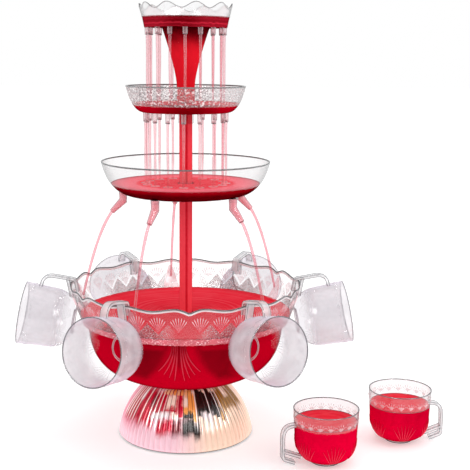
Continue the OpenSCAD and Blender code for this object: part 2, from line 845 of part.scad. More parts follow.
function tier_line(floor_r, heel_r, rim_r, low, heel_z, rim_z, wall) =
    curve2([floor_r, low + wall], [heel_r - wall, low + heel_z + wall], [rim_r - wall, rim_z], curve_steps);

function lower_line(wall) =
    tier_line(lower_floor_r, lower_heel_r, lower_rim_r, lower_z, lower_heel_z, lower_rim_z, wall);

function middle_line(wall) =
    tier_line(middle_floor_r, middle_heel_r, middle_rim_r, middle_z, middle_heel_z, middle_rim_z, wall);

module lower_tier() {
    color("lightcyan", 0.4) difference() {
        union() {
            difference() {
                union() {
                    revolve(concat([[0, lower_z]], lower_line(0), [[0, lower_rim_z]]));
                    around(spout_count, spout_circle_r, spout_turn) peg(spout_boss_r, spout_top, lower_rim_z);
                }
                revolve(concat([[0, lower_z + lower_wall]], lower_line(lower_wall),
                    [[lower_rim_r - lower_wall, lower_rim_z + overrun], [0, lower_rim_z + overrun]]));
            }
            peg(socket_out_r, lower_z - lower_collar, lower_hub_top);
        }
        hub_bore(lower_z - lower_collar, lower_stop_z, lower_hub_top);
        around(spout_count, spout_circle_r, spout_turn)
            peg(spout_plug_r + slip_gap, spout_top - overrun, lower_rim_z);
    }
}

// A round bar that drops from the boss to the elbow, and a tapered one that slants on to the tip
module spout_run(r, elbow_r, tip_r, top, past) {
    low = r * elbow_low_share;
    back = elbow_r * elbow_back_share;
    translate([0, 0, -low]) cylinder(r = r, h = top + low);
    rotate([0, 90 + spout_pitch, 0]) translate([0, 0, -back])
        cylinder(r1 = elbow_r, r2 = tip_r, h = spout_len + back + past);
}

module spout(k) {
    color("lightcyan", 0.4) rotate([0, 0, spout_turn + (k - 1) * spout_turn_step])
    translate([spout_circle_r, 0, spout_elbow_z]) difference() {
        union() {
            spout_run(spout_r, spout_elbow_r, spout_tip_r, spout_drop, 0);
            cylinder(r = spout_plug_r, h = spout_plug_top - spout_elbow_z);
        }
        spout_run(spout_bore_r, spout_tip_bore_r, spout_tip_bore_r,
            spout_plug_top - spout_elbow_z + overrun, overrun);
    }
}

module nozzles(circle_r, turn, low, high) {
    around(nozzle_count, circle_r, turn) peg(nozzle_r, low, high);
}

module nozzle_bores(circle_r, turn, low, high) {
    around(nozzle_count, circle_r, turn) peg(nozzle_bore_r, low - overrun, high + overrun);
}

module middle_tier() {
    color("lightcyan", 0.4) difference() {
        union() {
            revolve(concat([[0, middle_z]], middle_line(0), reversed(middle_line(middle_wall)),
                [[0, middle_z + middle_wall]]));
            peg(socket_out_r, middle_z - middle_collar, middle_hub_top);
            nozzles(middle_nozzle_circle_r, middle_nozzle_turn, middle_z - middle_nozzle_len,
                middle_z + middle_wall / 2);
        }
        hub_bore(middle_z - middle_collar, middle_stop_z, middle_hub_top);
        nozzle_bores(middle_nozzle_circle_r, middle_nozzle_turn, middle_z - middle_nozzle_len,
            middle_z + middle_wall);
    }
}

module top_tier() {
    drops = [for (i = [-lobe_steps:lobe_steps]) [i / lobe_steps, top_drop(abs(i / lobe_steps))]];
    hole_r = funnel_top_r + slip_gap;
    color("lightcyan", 0.4) difference() {
        union() {
            revolve([[hole_r, top_z], [top_floor_r, top_z], [top_rim_r, top_rim_z],
                [top_rim_r - top_wall, top_rim_z], [top_floor_r - top_wall, top_z + top_wall],
                [hole_r, top_z + top_wall]]);
            nozzles(top_nozzle_circle_r, top_nozzle_turn, top_z - top_nozzle_len, top_z + top_wall / 2);
        }
        rim_cut(top_lobes, top_turn, top_rim_r, top_rim_z, drops);
        nozzle_bores(top_nozzle_circle_r, top_nozzle_turn, top_z - top_nozzle_len, top_z + top_wall);
    }
}

// Flare of the funnel above its neck
function funnel_line(wall) = curve2([funnel_neck_r - wall, funnel_flare_z],
    between([funnel_neck_r - wall, funnel_flare_z], [funnel_top_r - wall, top_z], funnel_heel_shares),
    [funnel_top_r - wall, top_z], curve_steps);

module top_funnel() {
    color("lightcyan", 0.4) revolve(concat([[column_bore_r, funnel_z], [column_r, funnel_z],
        [column_r, funnel_neck_z], [funnel_neck_r, funnel_neck_z]], funnel_line(0),
        [[funnel_top_r, funnel_rim_z], [funnel_top_r + funnel_flange, funnel_rim_z],
            [funnel_top_r + funnel_flange, funnel_rim_z + funnel_wall],
            [funnel_top_r - funnel_wall, funnel_rim_z + funnel_wall]],
        reversed(funnel_line(funnel_wall)), [[column_bore_r, funnel_neck_z]]));
}

// Side of a cup from the foot to the rim, and the same line one wall further in
function cup_side(wall) = concat(
    curve3([cup_foot_r, cup_foot_h + wall], between([cup_foot_r, cup_foot_h + wall],
        [cup_side_r - wall, cup_waist_z], cup_curve_shares[0]),
        between([cup_foot_r, cup_foot_h + wall], [cup_side_r - wall, cup_waist_z], cup_curve_shares[1]),
        [cup_side_r - wall, cup_waist_z], curve_steps),
    [[cup_rim_r - wall, cup_h]]);

module cup() {
    upper = [cup_side_r - cup_wall, handle_top_z];
    corner = [grip_x, handle_top_z];
    grip = concat([upper], bend(upper, corner, tail_start, grip_round),
        bend(corner, tail_start, tail_end, tail_round), [tail_end]);
    color("lightcyan", 0.4) difference() {
        union() {
            revolve(concat([[0, 0], [cup_foot_r, 0]], cup_side(0), [[0, cup_h]]));
            translate([0, handle_w / 2, 0]) rotate([90, 0, 0]) linear_extrude(height = handle_w) union() {
                polygon(strip(grip, handle_t / 2));
                polygon(strip([arm_start, arm_end], handle_t / 2));
            }
        }
        revolve(concat([[0, cup_foot_h + cup_wall]], cup_side(cup_wall),
            [[cup_rim_r - cup_wall, cup_h + overrun], [0, cup_h + overrun]]));
    }
}

module hung_cup(k) {
    rotate([0, 0, (k - 1) * hung_step]) translate([hang_r, 0, hang_z])
        rotate([0, 90 - hang_tilt, 0]) rotate([0, 0, 180]) cup();
}

module standing_cup(x, fore, turn) {
    translate([x, -fore, 0]) rotate([0, 0, turn]) cup();
}

base_shell();
base_plate();
foot_ring();
base_screws();
motor_cradle();
motor_case();
motor_screws();
motor_shaft();
drive_magnet();
lamp_board();
lamps();
light_window();
switch_frame();
rocker_button();
cord_gland();
punch_bowl();
impeller_pin();
impeller();
impeller_magnet();
pump_cover();
cover_gasket();
lower_column();
lower_tier();
lower_gaskets();
spout(1);  // spout_1
spout(2);  // spout_2
spout(3);  // spout_3
spout(4);  // spout_4
spout(5);  // spout_5
upper_column();
middle_tier();
middle_gaskets();
top_tier();
top_funnel();
hung_cup(1);  // cup_1
hung_cup(2);  // cup_2
hung_cup(3);  // cup_3
hung_cup(4);  // cup_4
hung_cup(5);  // cup_5
hung_cup(6);  // cup_6
standing_cup(left_cup_x, left_cup_fore, left_cup_angle);  // cup_7
standing_cup(right_cup_x, right_cup_fore, right_cup_angle);  // cup_8
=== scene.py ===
from math import atan, copysign, cos, degrees, pi, radians, sin
import bpy
from mathutils import Matrix, Vector


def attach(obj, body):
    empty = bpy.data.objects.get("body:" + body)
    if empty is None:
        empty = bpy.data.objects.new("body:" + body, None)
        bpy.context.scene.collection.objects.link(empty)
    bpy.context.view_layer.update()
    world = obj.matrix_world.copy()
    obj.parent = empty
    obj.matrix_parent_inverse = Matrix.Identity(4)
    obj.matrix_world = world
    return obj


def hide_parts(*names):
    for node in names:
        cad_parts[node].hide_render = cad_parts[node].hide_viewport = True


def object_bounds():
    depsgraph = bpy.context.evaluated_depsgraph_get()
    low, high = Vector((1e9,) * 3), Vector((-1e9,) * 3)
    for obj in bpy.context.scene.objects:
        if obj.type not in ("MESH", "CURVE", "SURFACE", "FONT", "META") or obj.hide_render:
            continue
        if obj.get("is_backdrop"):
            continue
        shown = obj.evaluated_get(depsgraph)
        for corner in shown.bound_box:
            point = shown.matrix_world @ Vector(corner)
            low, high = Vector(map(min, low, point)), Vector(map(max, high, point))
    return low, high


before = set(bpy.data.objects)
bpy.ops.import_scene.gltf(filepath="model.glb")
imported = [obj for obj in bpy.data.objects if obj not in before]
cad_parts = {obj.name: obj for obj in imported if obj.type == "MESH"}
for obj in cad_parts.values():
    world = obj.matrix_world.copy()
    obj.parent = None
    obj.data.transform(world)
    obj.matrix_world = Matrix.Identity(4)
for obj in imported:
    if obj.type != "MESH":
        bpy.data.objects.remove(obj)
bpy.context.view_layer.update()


# Base plate, foot ring and screws: the plate is moulded in black plastic and closes the base from below.
# Steel screws hold it to posts in the base, and a soft rubber ring is pressed into it by studs.
def step(operation, turned=False):
    """A method that adds one Math node to a field; turned puts the field last."""
    def add(self, *other):
        terms = (*other, self) if turned else (self, *other)
        return self.finish.node("Math", {"operation": operation}, dict(enumerate(terms)))
    return add


class Field:
    """A value that changes over a surface; sums and products of it add Math nodes."""

    def __init__(self, finish, socket):
        self.finish = finish
        self.socket = socket

    __add__, __radd__ = step("ADD"), step("ADD", True)
    __sub__, __rsub__ = step("SUBTRACT"), step("SUBTRACT", True)
    __mul__, __rmul__ = step("MULTIPLY"), step("MULTIPLY", True)
    __truediv__, __pow__ = step("DIVIDE"), step("POWER")
    __abs__, fract, floor = step("ABSOLUTE"), step("FRACT"), step("FLOOR")
    most, arctan = step("MAXIMUM"), step("ARCTAN2")

    def angle(self, other):
        """Angle in degrees, with this as its sine and the other as its cosine."""
        return self.arctan(other) * (180 / pi)

    def ramp(self, start, end):
        """0 before start, 1 after end, and smooth between them."""
        limits = {"Value": self, "From Min": start, "From Max": end}
        return self.finish.node("MapRange", {"interpolation_type": "SMOOTHSTEP"}, limits, "Result")

    def between(self, start, end, soft):
        """1 from start to end, 0 outside, with soft borders."""
        return self.ramp(start - soft, start + soft) * (1 - self.ramp(end - soft, end + soft))


def pick(sockets, key):
    """A socket of a node by its place or its name."""
    if isinstance(key, int):
        return sockets[key]
    return next(s for s in sockets if key in (s.identifier, s.name))


class Finish:
    """A material, or the world; each node comes from node(), and show() puts its shader on the surface."""

    def __init__(self, name, world=None):
        self.block = world or bpy.data.materials.new(name)
        self.block.use_nodes = True
        self.tree = self.block.node_tree
        self.tree.nodes.clear()
        self.output = "OutputWorld" if world else "OutputMaterial"
        self.place = self.node("TexCoord", {}, {}, "Generated" if world else "Object")

    def node(self, kind, settings, sockets, output=0):
        made = self.tree.nodes.new("ShaderNode" + kind)
        for name, value in settings.items():
            setattr(made, name, value)
        for name, value in sockets.items():
            socket = pick(made.inputs, name)
            if isinstance(value, Field):
                self.tree.links.new(value.socket, socket)
            elif socket.type == "RGBA" and len(value) == 3:
                socket.default_value = (*value, 1)
            else:
                socket.default_value = value
        if made.outputs:
            return Field(self, pick(made.outputs, output))

    def blend(self, share, a, b):
        sockets = {"Factor_Float": share, "A_Color": a, "B_Color": b}
        return self.node("Mix", {"data_type": "RGBA"}, sockets, "Result_Color")

    def noise(self, size_mm, detail=2.0, twist=0.0):
        sockets = {"Vector": self.place, "Scale": 1000 / size_mm, "Detail": detail, "Distortion": twist}
        return self.node("TexNoise", {}, sockets, "Fac")

    def layers(self, way, scale, detail=3.0):
        """Noise that changes along one value only."""
        sockets = {"W": way, "Scale": scale, "Detail": detail}
        return self.node("TexNoise", {"noise_dimensions": "1D"}, sockets, "Fac")

    def axes(self, vector=None):
        return [self.node("SeparateXYZ", {}, {"Vector": vector or self.place}, axis) for axis in "XYZ"]

    def normals(self):
        return self.axes(self.node("NewGeometry", {}, {}, "Normal"))

    def facing(self):
        """0 where the surface is seen straight on and 1 where it is seen edge on."""
        return self.node("LayerWeight", {}, {"Blend": 0.5}, "Facing")

    def bump(self, height, depth_mm, strength=1.0):
        sockets = {"Strength": strength, "Distance": depth_mm / 1000, "Height": height}
        return self.node("Bump", {}, sockets, "Normal")

    def glass(self, tint):
        return self.node("BsdfTransparent", {}, {"Color": tint}, "BSDF")

    def body(self, sockets):
        return self.node("BsdfPrincipled", {}, sockets, "BSDF")

    def mixed(self, share, first, second):
        return self.node("MixShader", {}, {"Fac": share, "Shader": first, "Shader_001": second}, "Shader")

    def show(self, shader):
        self.node(self.output, {}, {"Surface": shader})
        return self.block


def moulded(name, colour, rough, grain_mm):
    """Opaque moulded plastic or rubber with a fine grain and faint clouds."""
    f = Finish(name)
    grain = f.noise(grain_mm, 3.0)
    cloud = f.noise(30.0).ramp(0.3, 0.7)
    return f.show(f.body({
        "Base Color": f.blend(cloud, tuple(c * 0.8 for c in colour), colour),
        "Roughness": grain * 0.2 + (rough - 0.1),
        "Normal": f.bump(grain, 0.05)}))


def metal(name, colour, rough, streak_mm):
    """Machined metal with fine turning marks across Z."""
    f = Finish(name)
    marks = f.layers(f.axes()[2], 1000 / streak_mm)
    return f.show(f.body({
        "Base Color": f.blend(marks, tuple(c * 0.75 for c in colour), colour),
        "Metallic": 1.0, "Roughness": marks * 0.25 + (rough - 0.12),
        "Normal": f.bump(marks, 0.02)}))


def dress(material, *nodes):
    """Gives CAD pieces that show as they are their material."""
    for node in nodes:
        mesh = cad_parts[node].data
        mesh.materials.clear()
        mesh.materials.append(material)


steel = metal("turned_steel", (0.62, 0.62, 0.63), 0.3, 0.4)
black_plastic = moulded("black_plastic", (0.035, 0.035, 0.04), 0.5, 0.6)
dress(black_plastic, "base_plate")
dress(moulded("foot_rubber", (0.03, 0.03, 0.03), 0.8, 1.2), "foot_ring")
dress(steel, "base_screws")

# Motor: a small zinc-plated can in a grey moulded cradle, screwed to the base plate.
# Its steel shaft carries a black sintered magnet that turns just below the window under the bowl.
magnet = moulded("sintered_magnet", (0.07, 0.07, 0.075), 0.45, 0.3)
dress(moulded("cradle_plastic", (0.33, 0.33, 0.34), 0.5, 0.8), "motor_cradle")
dress(metal("zinc_can", (0.5, 0.52, 0.55), 0.35, 1.5), "motor_case")
dress(steel, "motor_screws", "motor_shaft")
dress(magnet, "drive_magnet")

# Light: a ring board with warm lamps, clamped under a clear disc that the bowl stands on.
# The board is lacquered green, and the lamps are small clear domes.
lamp = Finish("warm_lamp")
dress(lamp.show(lamp.body({
    "Base Color": lamp.blend(lamp.noise(1.0), (0.95, 0.86, 0.6), (1.0, 0.95, 0.8)), "Roughness": 0.2,
    "Emission Color": (1.0, 0.8, 0.45, 1), "Emission Strength": 1.5})), "lamps")
dress(moulded("board_lacquer", (0.02, 0.16, 0.06), 0.35, 2.0), "lamp_board")

# Switch and gland at the back: a black frame with a red rocker on a pin, and a black moulded gland
# for a lead. Both are pushed into pads of the base.
dress(black_plastic, "switch_frame", "cord_gland")
dress(moulded("red_rocker", (0.5, 0.02, 0.02), 0.3, 1.0), "rocker_button")

# Base shell: a dome moulded with upright reeds and metallised, so it mirrors the floor and the punch. Its
# colour adds
# painted reflection and light: rose on the left, amber on the right, paler towards the foot, and a faint
# painted glow.
MM = 0.001
scene = bpy.context.scene


def curve(points, steps):
    """Points of a curve with one or two control points, as in the part's source."""
    line = []
    for i in range(steps + 1):
        row = [Vector(p) for p in points]
        while len(row) > 1:
            row = [a.lerp(b, i / steps) for a, b in zip(row, row[1:])]
        line.append(tuple(row[0]))
    return line


def around(a, r, z):
    """A point at an angle, a distance from Z and a height."""
    return (r * cos(a), r * sin(a), z)


def full_turn(count):
    return [2 * pi * k / count for k in range(count)]


def skin(rows, loop=True, wrap=False):
    """A sheet over rows of points; loop closes each row, and wrap joins the last row to the first."""
    n, count = len(rows[0]), len(rows)
    faces = []
    for i in range(count if wrap else count - 1):
        low, high = i * n, (i + 1) % count * n
        for k in range(n if loop else n - 1):
            m = (k + 1) % n
            faces.append((low + k, low + m, high + m, high + k))
    return [p for row in rows for p in row], faces


def lathe(profile, sides, shape=lambda r, z, a: (r, z)):
    """A sheet turned about Z from (radius, height) points in mm; shape may move a point by its angle."""
    return skin([[around(a, *shape(r, z, a)) for a in full_turn(sides)] for r, z in profile])


def joined(*shapes):
    points, faces = [], []
    for more, fs in shapes:
        faces += [tuple(i + len(points) for i in f) for f in fs]
        points += more
    return points, faces


def placed(name, data):
    """A new object in the scene."""
    made = bpy.data.objects.new(name, data)
    scene.collection.objects.link(made)
    return made


def piece(name, shape, material, body, nodes=(), place=None, crease=40):
    """A mesh piece in mm that rides on a body and stands for CAD nodes."""
    points, faces = shape
    mesh = bpy.data.meshes.new(name)
    mesh.from_pydata([(x * MM, y * MM, z * MM) for x, y, z in points], [], faces)
    mesh.validate()
    mesh.shade_smooth()
    mesh.set_sharp_from_angle(angle=radians(crease))
    mesh.materials.append(material)
    made = placed(name, mesh)
    if place is not None:
        made.matrix_world = place
    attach(made, body)
    if nodes:
        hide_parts(*nodes)


REEDS = 72
REED_DEPTH = 1.3
FOOT_R, FOOT_Z = 82, 2.2
NECK_R, NECK_Z = 47, 65
base_line = ([(78.3, 1.5), (81.6, 1.5), (FOOT_R, FOOT_Z)]
             + curve([(FOOT_R, 2.6), (76.5, 39), (NECK_R, NECK_Z)], 44)[1:] + [(42.1, NECK_Z)])


def reeded(r, z, a):
    """Grooves between the reeds; they fade out at the plain foot edge and stop at the neck's inner edge."""
    if z < 2.5 or r < 43:
        return r, z
    groove = 1 - abs(cos(a * REEDS / 2))
    fade = min(1, (z - FOOT_Z) / 6)
    return r - REED_DEPTH * groove * fade * r / FOOT_R, z


PAD_FACE, PAD_BACK, SEAT_BACK = 80, 60, 66
PAD_CORNER, SEAT_CORNER = 5.5, 0.6


def ringed_pad(outer, seat, sides):
    """A raised pad with a rounded edge round a seat; outer and seat are half sizes (width, height)."""
    rows = []
    for (w, h), inset, x, corner in (
            (outer, 0, PAD_BACK, PAD_CORNER), (outer, 0, PAD_FACE - 1.4, PAD_CORNER),
            (outer, 0.5, PAD_FACE - 0.4, PAD_CORNER - 0.5), (outer, 1.4, PAD_FACE, PAD_CORNER - 1.4),
            (seat, 0, PAD_FACE, SEAT_CORNER), (seat, 0, SEAT_BACK, SEAT_CORNER)):
        row = []
        for k in range(sides):
            a = 2 * pi * (k + 0.5) / sides
            cx = copysign(w - inset - corner, cos(a))
            cz = copysign(h - inset - corner, sin(a))
            row.append((x, cx + corner * cos(a), cz + corner * sin(a)))
        rows.append(row)
    return skin(rows)


# Colours of the painted reflections and shade on the base; the near-black one stands for dark reflections
# and for shade in the grooves.
PINK, PEACH = (0.94, 0.62, 0.7), (0.95, 0.72, 0.56)
ROSE, CRIMSON, WINE = (0.75, 0.12, 0.22), (0.55, 0.002, 0.03), (0.16, 0.0, 0.01)
PAINTED_DARK, CREAM, GOLD = (0.012, 0.007, 0.006), (1.0, 0.9, 0.76), (0.86, 0.36, 0.08)
BROWN, SILVER = (0.3, 0.14, 0.02), (0.85, 0.74, 0.75)
shell = Finish("metallised_shell")
x, y, z = shell.axes()
high = z * 1000
turn = x.angle(abs(y))
reed = turn * (REEDS / 360) + 100.5
chance = shell.node("TexWhiteNoise", {"noise_dimensions": "1D"}, {"W": reed.floor()}, "Value")
side = reed.fract() - 0.5
streak = shell.noise(5.0, 3.0)
across = (reed.floor() - 100) * (360 / REEDS) + side * 3 + streak * 3 - 1.5
level = high + chance * 6 + streak * 8 - 7
# Painted reflection: pink on the left turning to peach on the right, and rose high up on the left.
warm = turn.ramp(-15, 25)
colour = shell.blend(turn.ramp(-30, -75) * high.ramp(8, 30) * 0.75, shell.blend(warm, PINK, PEACH), ROSE)
# Painted shade: darker lines along the grooves between the reeds, rose on the left and brown on the right.
lines = abs(side).ramp(0.34, 0.5) * (high.ramp(10, 30) * 0.4 + 0.1)
colour = shell.blend(lines, colour, shell.blend(warm, ROSE, BROWN))
# Each painted reflection band: lowest and highest in mm, softness, first and last angle in degrees, colour.
for low, top, soft, left, right, tint in (
        (20, 37, 6, -28, -13, CRIMSON), (20, 37, 6, -13, -4, WINE), (19, 38, 6, -4, 14, PAINTED_DARK),
        (24, 38, 4, 17, 27, CREAM), (27, 64, 6, -78, -33, CRIMSON), (38, 64, 1, -33, -3, CRIMSON),
        (38, 64, 1, -3, 11, GOLD), (38, 64, 1, 11, 40, PAINTED_DARK), (40, 64, 5, 40, 78, BROWN),
        (34, 44, 3, 37, 44, BROWN), (37, 44, 2, -36, -16, SILVER), (37, 43, 2, -15, -8, CREAM),
        (37, 43, 2, -3, 9, PAINTED_DARK), (36, 44, 2, 16, 29, SILVER), (48, 60, 3, -23, -11, CREAM),
        (50, 60, 3, -4, 2, CREAM), (48, 60, 4, -43, -36, WINE), (52, 64, 3, 52, 60, CREAM),
        (50, 64, 4, -62, -57, SILVER)):
    colour = shell.blend(level.between(low, top, soft) * across.between(left, right, 1.5), colour, tint)
# Painted highlights: thin pale lines along some of the reeds, above the low band.
glints = side.between(0.1, 0.3, 0.05) * high.ramp(22, 34) * chance.ramp(0.35, 0.6)
colour = shell.blend(glints, colour, (1.0, 0.93, 0.9))
# Painted shade: dark lines in the grooves, from a fifth of the way up.
colour = shell.blend(abs(side).ramp(0.36, 0.5) * high.ramp(20, 36) * 0.8, colour, PAINTED_DARK)
# Painted highlights: a row of gold glints at the top of the base, under the bowl, at the front.
spots = high.ramp(60.8, 61.6) * turn.between(-30, 9, 2) * (1 - abs(side).ramp(0.25, 0.42))
colour = shell.blend(spots, colour, shell.blend(chance, GOLD, (1.0, 0.88, 0.6)))
# Painted shade: a dark line round the foot edge.
colour = shell.blend(1 - high.ramp(1.9, 2.7), colour, (0.05, 0.02, 0.02))
# A faint painted glow: the shell emits a little of its own colour, though it is no lamp.
metallised = shell.show(shell.body({
    "Base Color": colour, "Metallic": 0.2, "Roughness": streak * 0.1 + 0.15, "Emission Color": colour,
    "Emission Strength": 0.15, "Normal": shell.bump(streak, 0.05)}))
dome = lathe(base_line, REEDS * 10, reeded)
piece("base_dome", dome, metallised, "base", ["base_shell"], crease=60)
for name, way, up, outer, seat, sides in (
        ("switch_pad", 90, 23, (14, 13.7), (10.1, 11.8), 32),
        ("gland_pad", 128, 16, (11.1, 11.1), (6.6, 6.6), 48)):
    piece(name, ringed_pad(outer, seat, sides), metallised, "base", (),
          Matrix.Rotation(radians(way), 4, "Z") @ Matrix.Translation((0, 0, up * MM)))


# Punch bowl: one clear moulding with a wavy rim of six lobes, a row of shell fans over a pebbled band,
# a ledge, and a smooth belly with rayed fans. It stands on a ring that drops over the light window.
def clear_plastic(name, pale=(0.80, 0.80, 0.82), dark=(0.07, 0.07, 0.075), *, veil, edge, power=2.5,
                  tint=(0.98, 0.98, 0.98), thin=None, pebbles=None, cell_mm=1.6, fill=0.08,
                  cracks=(0.16, 0.12, 0.125), stones=(0.80, 0.80, 0.82), glint=(1.0, 0.97, 0.97)):
    """Clear plastic as a thin sheet: a faint veil, darker where it is seen edge on (a painted reflection of
    dark surroundings), with a soft shine. thin(f) may mask places without veil, such as those with a drink
    behind, and pebbles(f) a stippled surface of cells of about cell_mm with dark cracks, paler stones and
    bright painted glints."""
    f = Finish(name)
    facing = f.facing()
    flow = f.noise(16.0)
    share = facing ** power * edge + flow * veil + veil * 0.5
    gloss = facing ** 4 * 0.1 + 0.03
    if thin:
        clear = 1 - thin(f)
        share = share * clear
        gloss = gloss * clear
    # Painted reflection: the colour turns to the edge colour where the sheet is seen edge on.
    colour = f.blend(facing.ramp(0.18 * power, 0.9), pale, dark)
    normal = f.bump(flow, 0.3, 0.3)
    if pebbles:
        zone = pebbles(f)
        cells = f.node("TexVoronoi", {"feature": "DISTANCE_TO_EDGE"},
                       {"Vector": f.place, "Scale": 1000 / cell_mm}, "Distance")
        rim = 1 - cells.ramp(0.03, 0.16)
        # Painted glints: bright spots over the stippled cells.
        bright = f.noise(cell_mm).ramp(0.52, 0.64)
        share = share + zone * (rim * 0.4 + bright * 0.3 + fill)
        colour = f.blend(zone, colour, f.blend(bright, f.blend(rim, stones, cracks), glint))
        normal = f.bump(flow + zone * rim * 2, 0.3, 0.5)
    body = f.body({"Base Color": colour, "Roughness": 0.2, "Specular IOR Level": 0.2, "Normal": normal})
    shine = f.node("BsdfAnisotropic", {"distribution": "GGX"},
                   {"Color": (1, 1, 1), "Roughness": 0.06, "Normal": normal}, "BSDF")
    return f.show(f.mixed(gloss, f.mixed(share, f.glass(tint), body), shine))


FLOOR_R, FLOOR_Z = 47, 70
BELLY_R = 118
LEDGE_R, LEDGE_Z, LEDGE_ROUND = 125, 143, 3
SHOULDER_R, SHOULDER_Z = 132, 158
RIM_R, RIM_Z = 138, 188.5
WAVE_Z = 170
LOBE_DIP, NOTCH, NOTCH_FROM = 1.6, 5.0, 0.8
PUNCH_Z = 151
FAN_PITCH = 10
FAN_Z, FAN_HIGH = 159.4, 19.2
FAN_TURN = -3.3
BOWL_TURN = 1.7


def bowl_rim(a):
    """Drop of the rim at an angle: a dip within each of six lobes and a notch where two of them meet."""
    u = abs((degrees(a) - BOWL_TURN + 30) % 60 - 30) / 30
    if u < NOTCH_FROM:
        return LOBE_DIP * (1 - cos(2 * pi * u / NOTCH_FROM))
    return NOTCH * ((u - NOTCH_FROM) / (1 - NOTCH_FROM)) ** 1.5


def belly(foot, top, shares, steps):
    """A curve from foot to top; shares say how far out and up its two control points lie."""
    between = [(foot[0] + (top[0] - foot[0]) * u, foot[1] + (top[1] - foot[1]) * v) for u, v in shares]
    return curve([foot, *between, top], steps)


BELLY_STEPS = 26


def bowl_side(wall):
    """Side of the bowl above its standing ring, one wall further in."""
    ledge, under = LEDGE_R - wall, LEDGE_Z + wall
    over = under + LEDGE_ROUND
    foot, top = (FLOOR_R, FLOOR_Z + wall), (BELLY_R - wall, under)
    return (belly(foot, top, [(0.78, 0.1), (0.985, 0.42)], BELLY_STEPS)
            + curve([(ledge - LEDGE_ROUND, under), (ledge, under), (ledge, over)], 6)
            + curve([(ledge, over), (SHOULDER_R - wall, SHOULDER_Z), (RIM_R - wall, RIM_Z)], 22)[1:])


def wavy(low_z, rim_z, drop):
    """A wall that follows a wavy rim above a height; drop(a) says how far the rim lies under rim_z."""
    high = rim_z - low_z
    return lambda r, z, a: (r, z if z < low_z else low_z + (z - low_z) * (high - drop(a)) / high)


def radius_at(line, z):
    """Radius of a rising line of (radius, height) points at a height."""
    for (r0, z0), (r1, z1) in zip(line, line[1:]):
        if z0 <= z <= z1 and z1 > z0:
            return r0 + (r1 - r0) * (z - z0) / (z1 - z0)
    return line[-1][0]


def capped(sheet, n):
    """A sheet over loops of n points, closed at both ends."""
    points, faces = sheet
    return points, faces + [tuple(range(n - 1, -1, -1)), tuple(range(len(points) - n, len(points)))]


def tube(path, radii, sides, closed=False):
    """A round bar along 3-D points in mm, mitred at its corners, with capped ends unless it is a loop."""
    path = [Vector(p) for p in path]
    rows, side = [], None
    for i, p in enumerate(path):
        before = path[i - 1] if closed or i else p
        after = path[(i + 1) % len(path)] if closed or i < len(path) - 1 else p
        way = (after - before).normalized()
        ahead = (after - p).normalized() if after != p else way
        if side is None:
            side = way.orthogonal().normalized()
        side = (side - way * side.dot(way)).normalized()
        other = way.cross(side)
        r = radii if isinstance(radii, (int, float)) else radii[i]
        miter = 1 / max(0.5, way.dot(ahead))
        bend = ahead - way * way.dot(ahead)
        bend = bend.normalized() if bend.length > 1e-6 else None
        row = []
        for a in full_turn(sides):
            d = side * cos(a) + other * sin(a)
            if bend:
                d += bend * d.dot(bend) * (miter - 1)
            row.append(tuple(p + d * r))
        rows.append(row)
    return skin(rows, wrap=True) if closed else capped(skin(rows), sides)


def on_turn(line, a, z, lift):
    """A point on a turned surface, lifted off it a little."""
    return around(a, radius_at(line, z) + lift, z)


def shell_fan(line, middle, low_z, high, half_angle, rays, lift):
    """Raised rays that spread upwards from a point of a turned surface, over a solid pointed heel."""
    shapes = []
    r = radius_at(line, low_z + high / 2)

    def at(out, lean, up=0.0):
        across, rise = out * sin(lean), out * cos(lean)
        return on_turn(line, middle + across / r, low_z + rise, lift + up)

    for k in range(rays):
        lean = half_angle * (2 * k / (rays - 1) - 1)
        width = half_angle / rays * 0.4
        start, end = high * 0.42, high * (1 - 0.1 * (lean / half_angle) ** 2)
        late = start + (end - start) * 0.8
        points = [at(start, lean), at(late, lean - width), at(end, lean), at(late, lean + width),
                  at(late * 0.95, lean, 0.6)]
        shapes.append((points, [(0, 4, 1), (1, 4, 2), (2, 4, 3), (3, 4, 0)]))
    heel = [at(0.4, 0)]
    steps = 2 * rays
    for k in range(steps + 1):
        lean = half_angle * 1.06 * (2 * k / steps - 1)
        heel.append(at(high * (0.56 - 0.06 * (k % 2)), lean))
    heel.append(at(high * 0.3, 0, 0.3))
    last = len(heel) - 1
    faces = [(k, k + 1, last) for k in range(1, last - 1)] + [(0, 1, last), (last - 1, 0, last)]
    return joined(*shapes), (heel, faces)


def stroke(line, spot, sides, steps, start, thin, thick):
    """A raised stroke on a turned surface; spot(s) gives its angle and height at a share of its length."""
    shares = [i / steps for i in range(steps + 1)]
    radii = [thin + thick * sin(pi * min(1, s * 0.85 + start)) for s in shares]
    return tube([on_turn(line, *spot(s), 0.0) for s in shares], radii, sides)


def pebbled_band(f):
    """The stippled band of the bowl: below the points of the fans, strongest where two lobes meet."""
    x, y, z = f.axes()
    fan = y.angle(x) / FAN_PITCH
    across = abs((fan + (50.5 - FAN_TURN / FAN_PITCH)).fract() - 0.5) * 0.0232
    top = across * 1.1 + (FAN_Z - 1.5) * MM
    lobe = abs((fan * (FAN_PITCH / 60) + 12).fract() - 0.5) * 2
    band = (top - z).ramp(0.0, 0.002) * z.ramp((LEDGE_Z - 0.5) * MM, LEDGE_Z * MM)
    return band * (lobe.ramp(0.12, 0.55) + 0.05)


def below(level):
    """A mask of what lies below a height in mm."""
    return lambda f: 1 - f.axes()[2].ramp((level - 1) * MM, (level + 1) * MM)


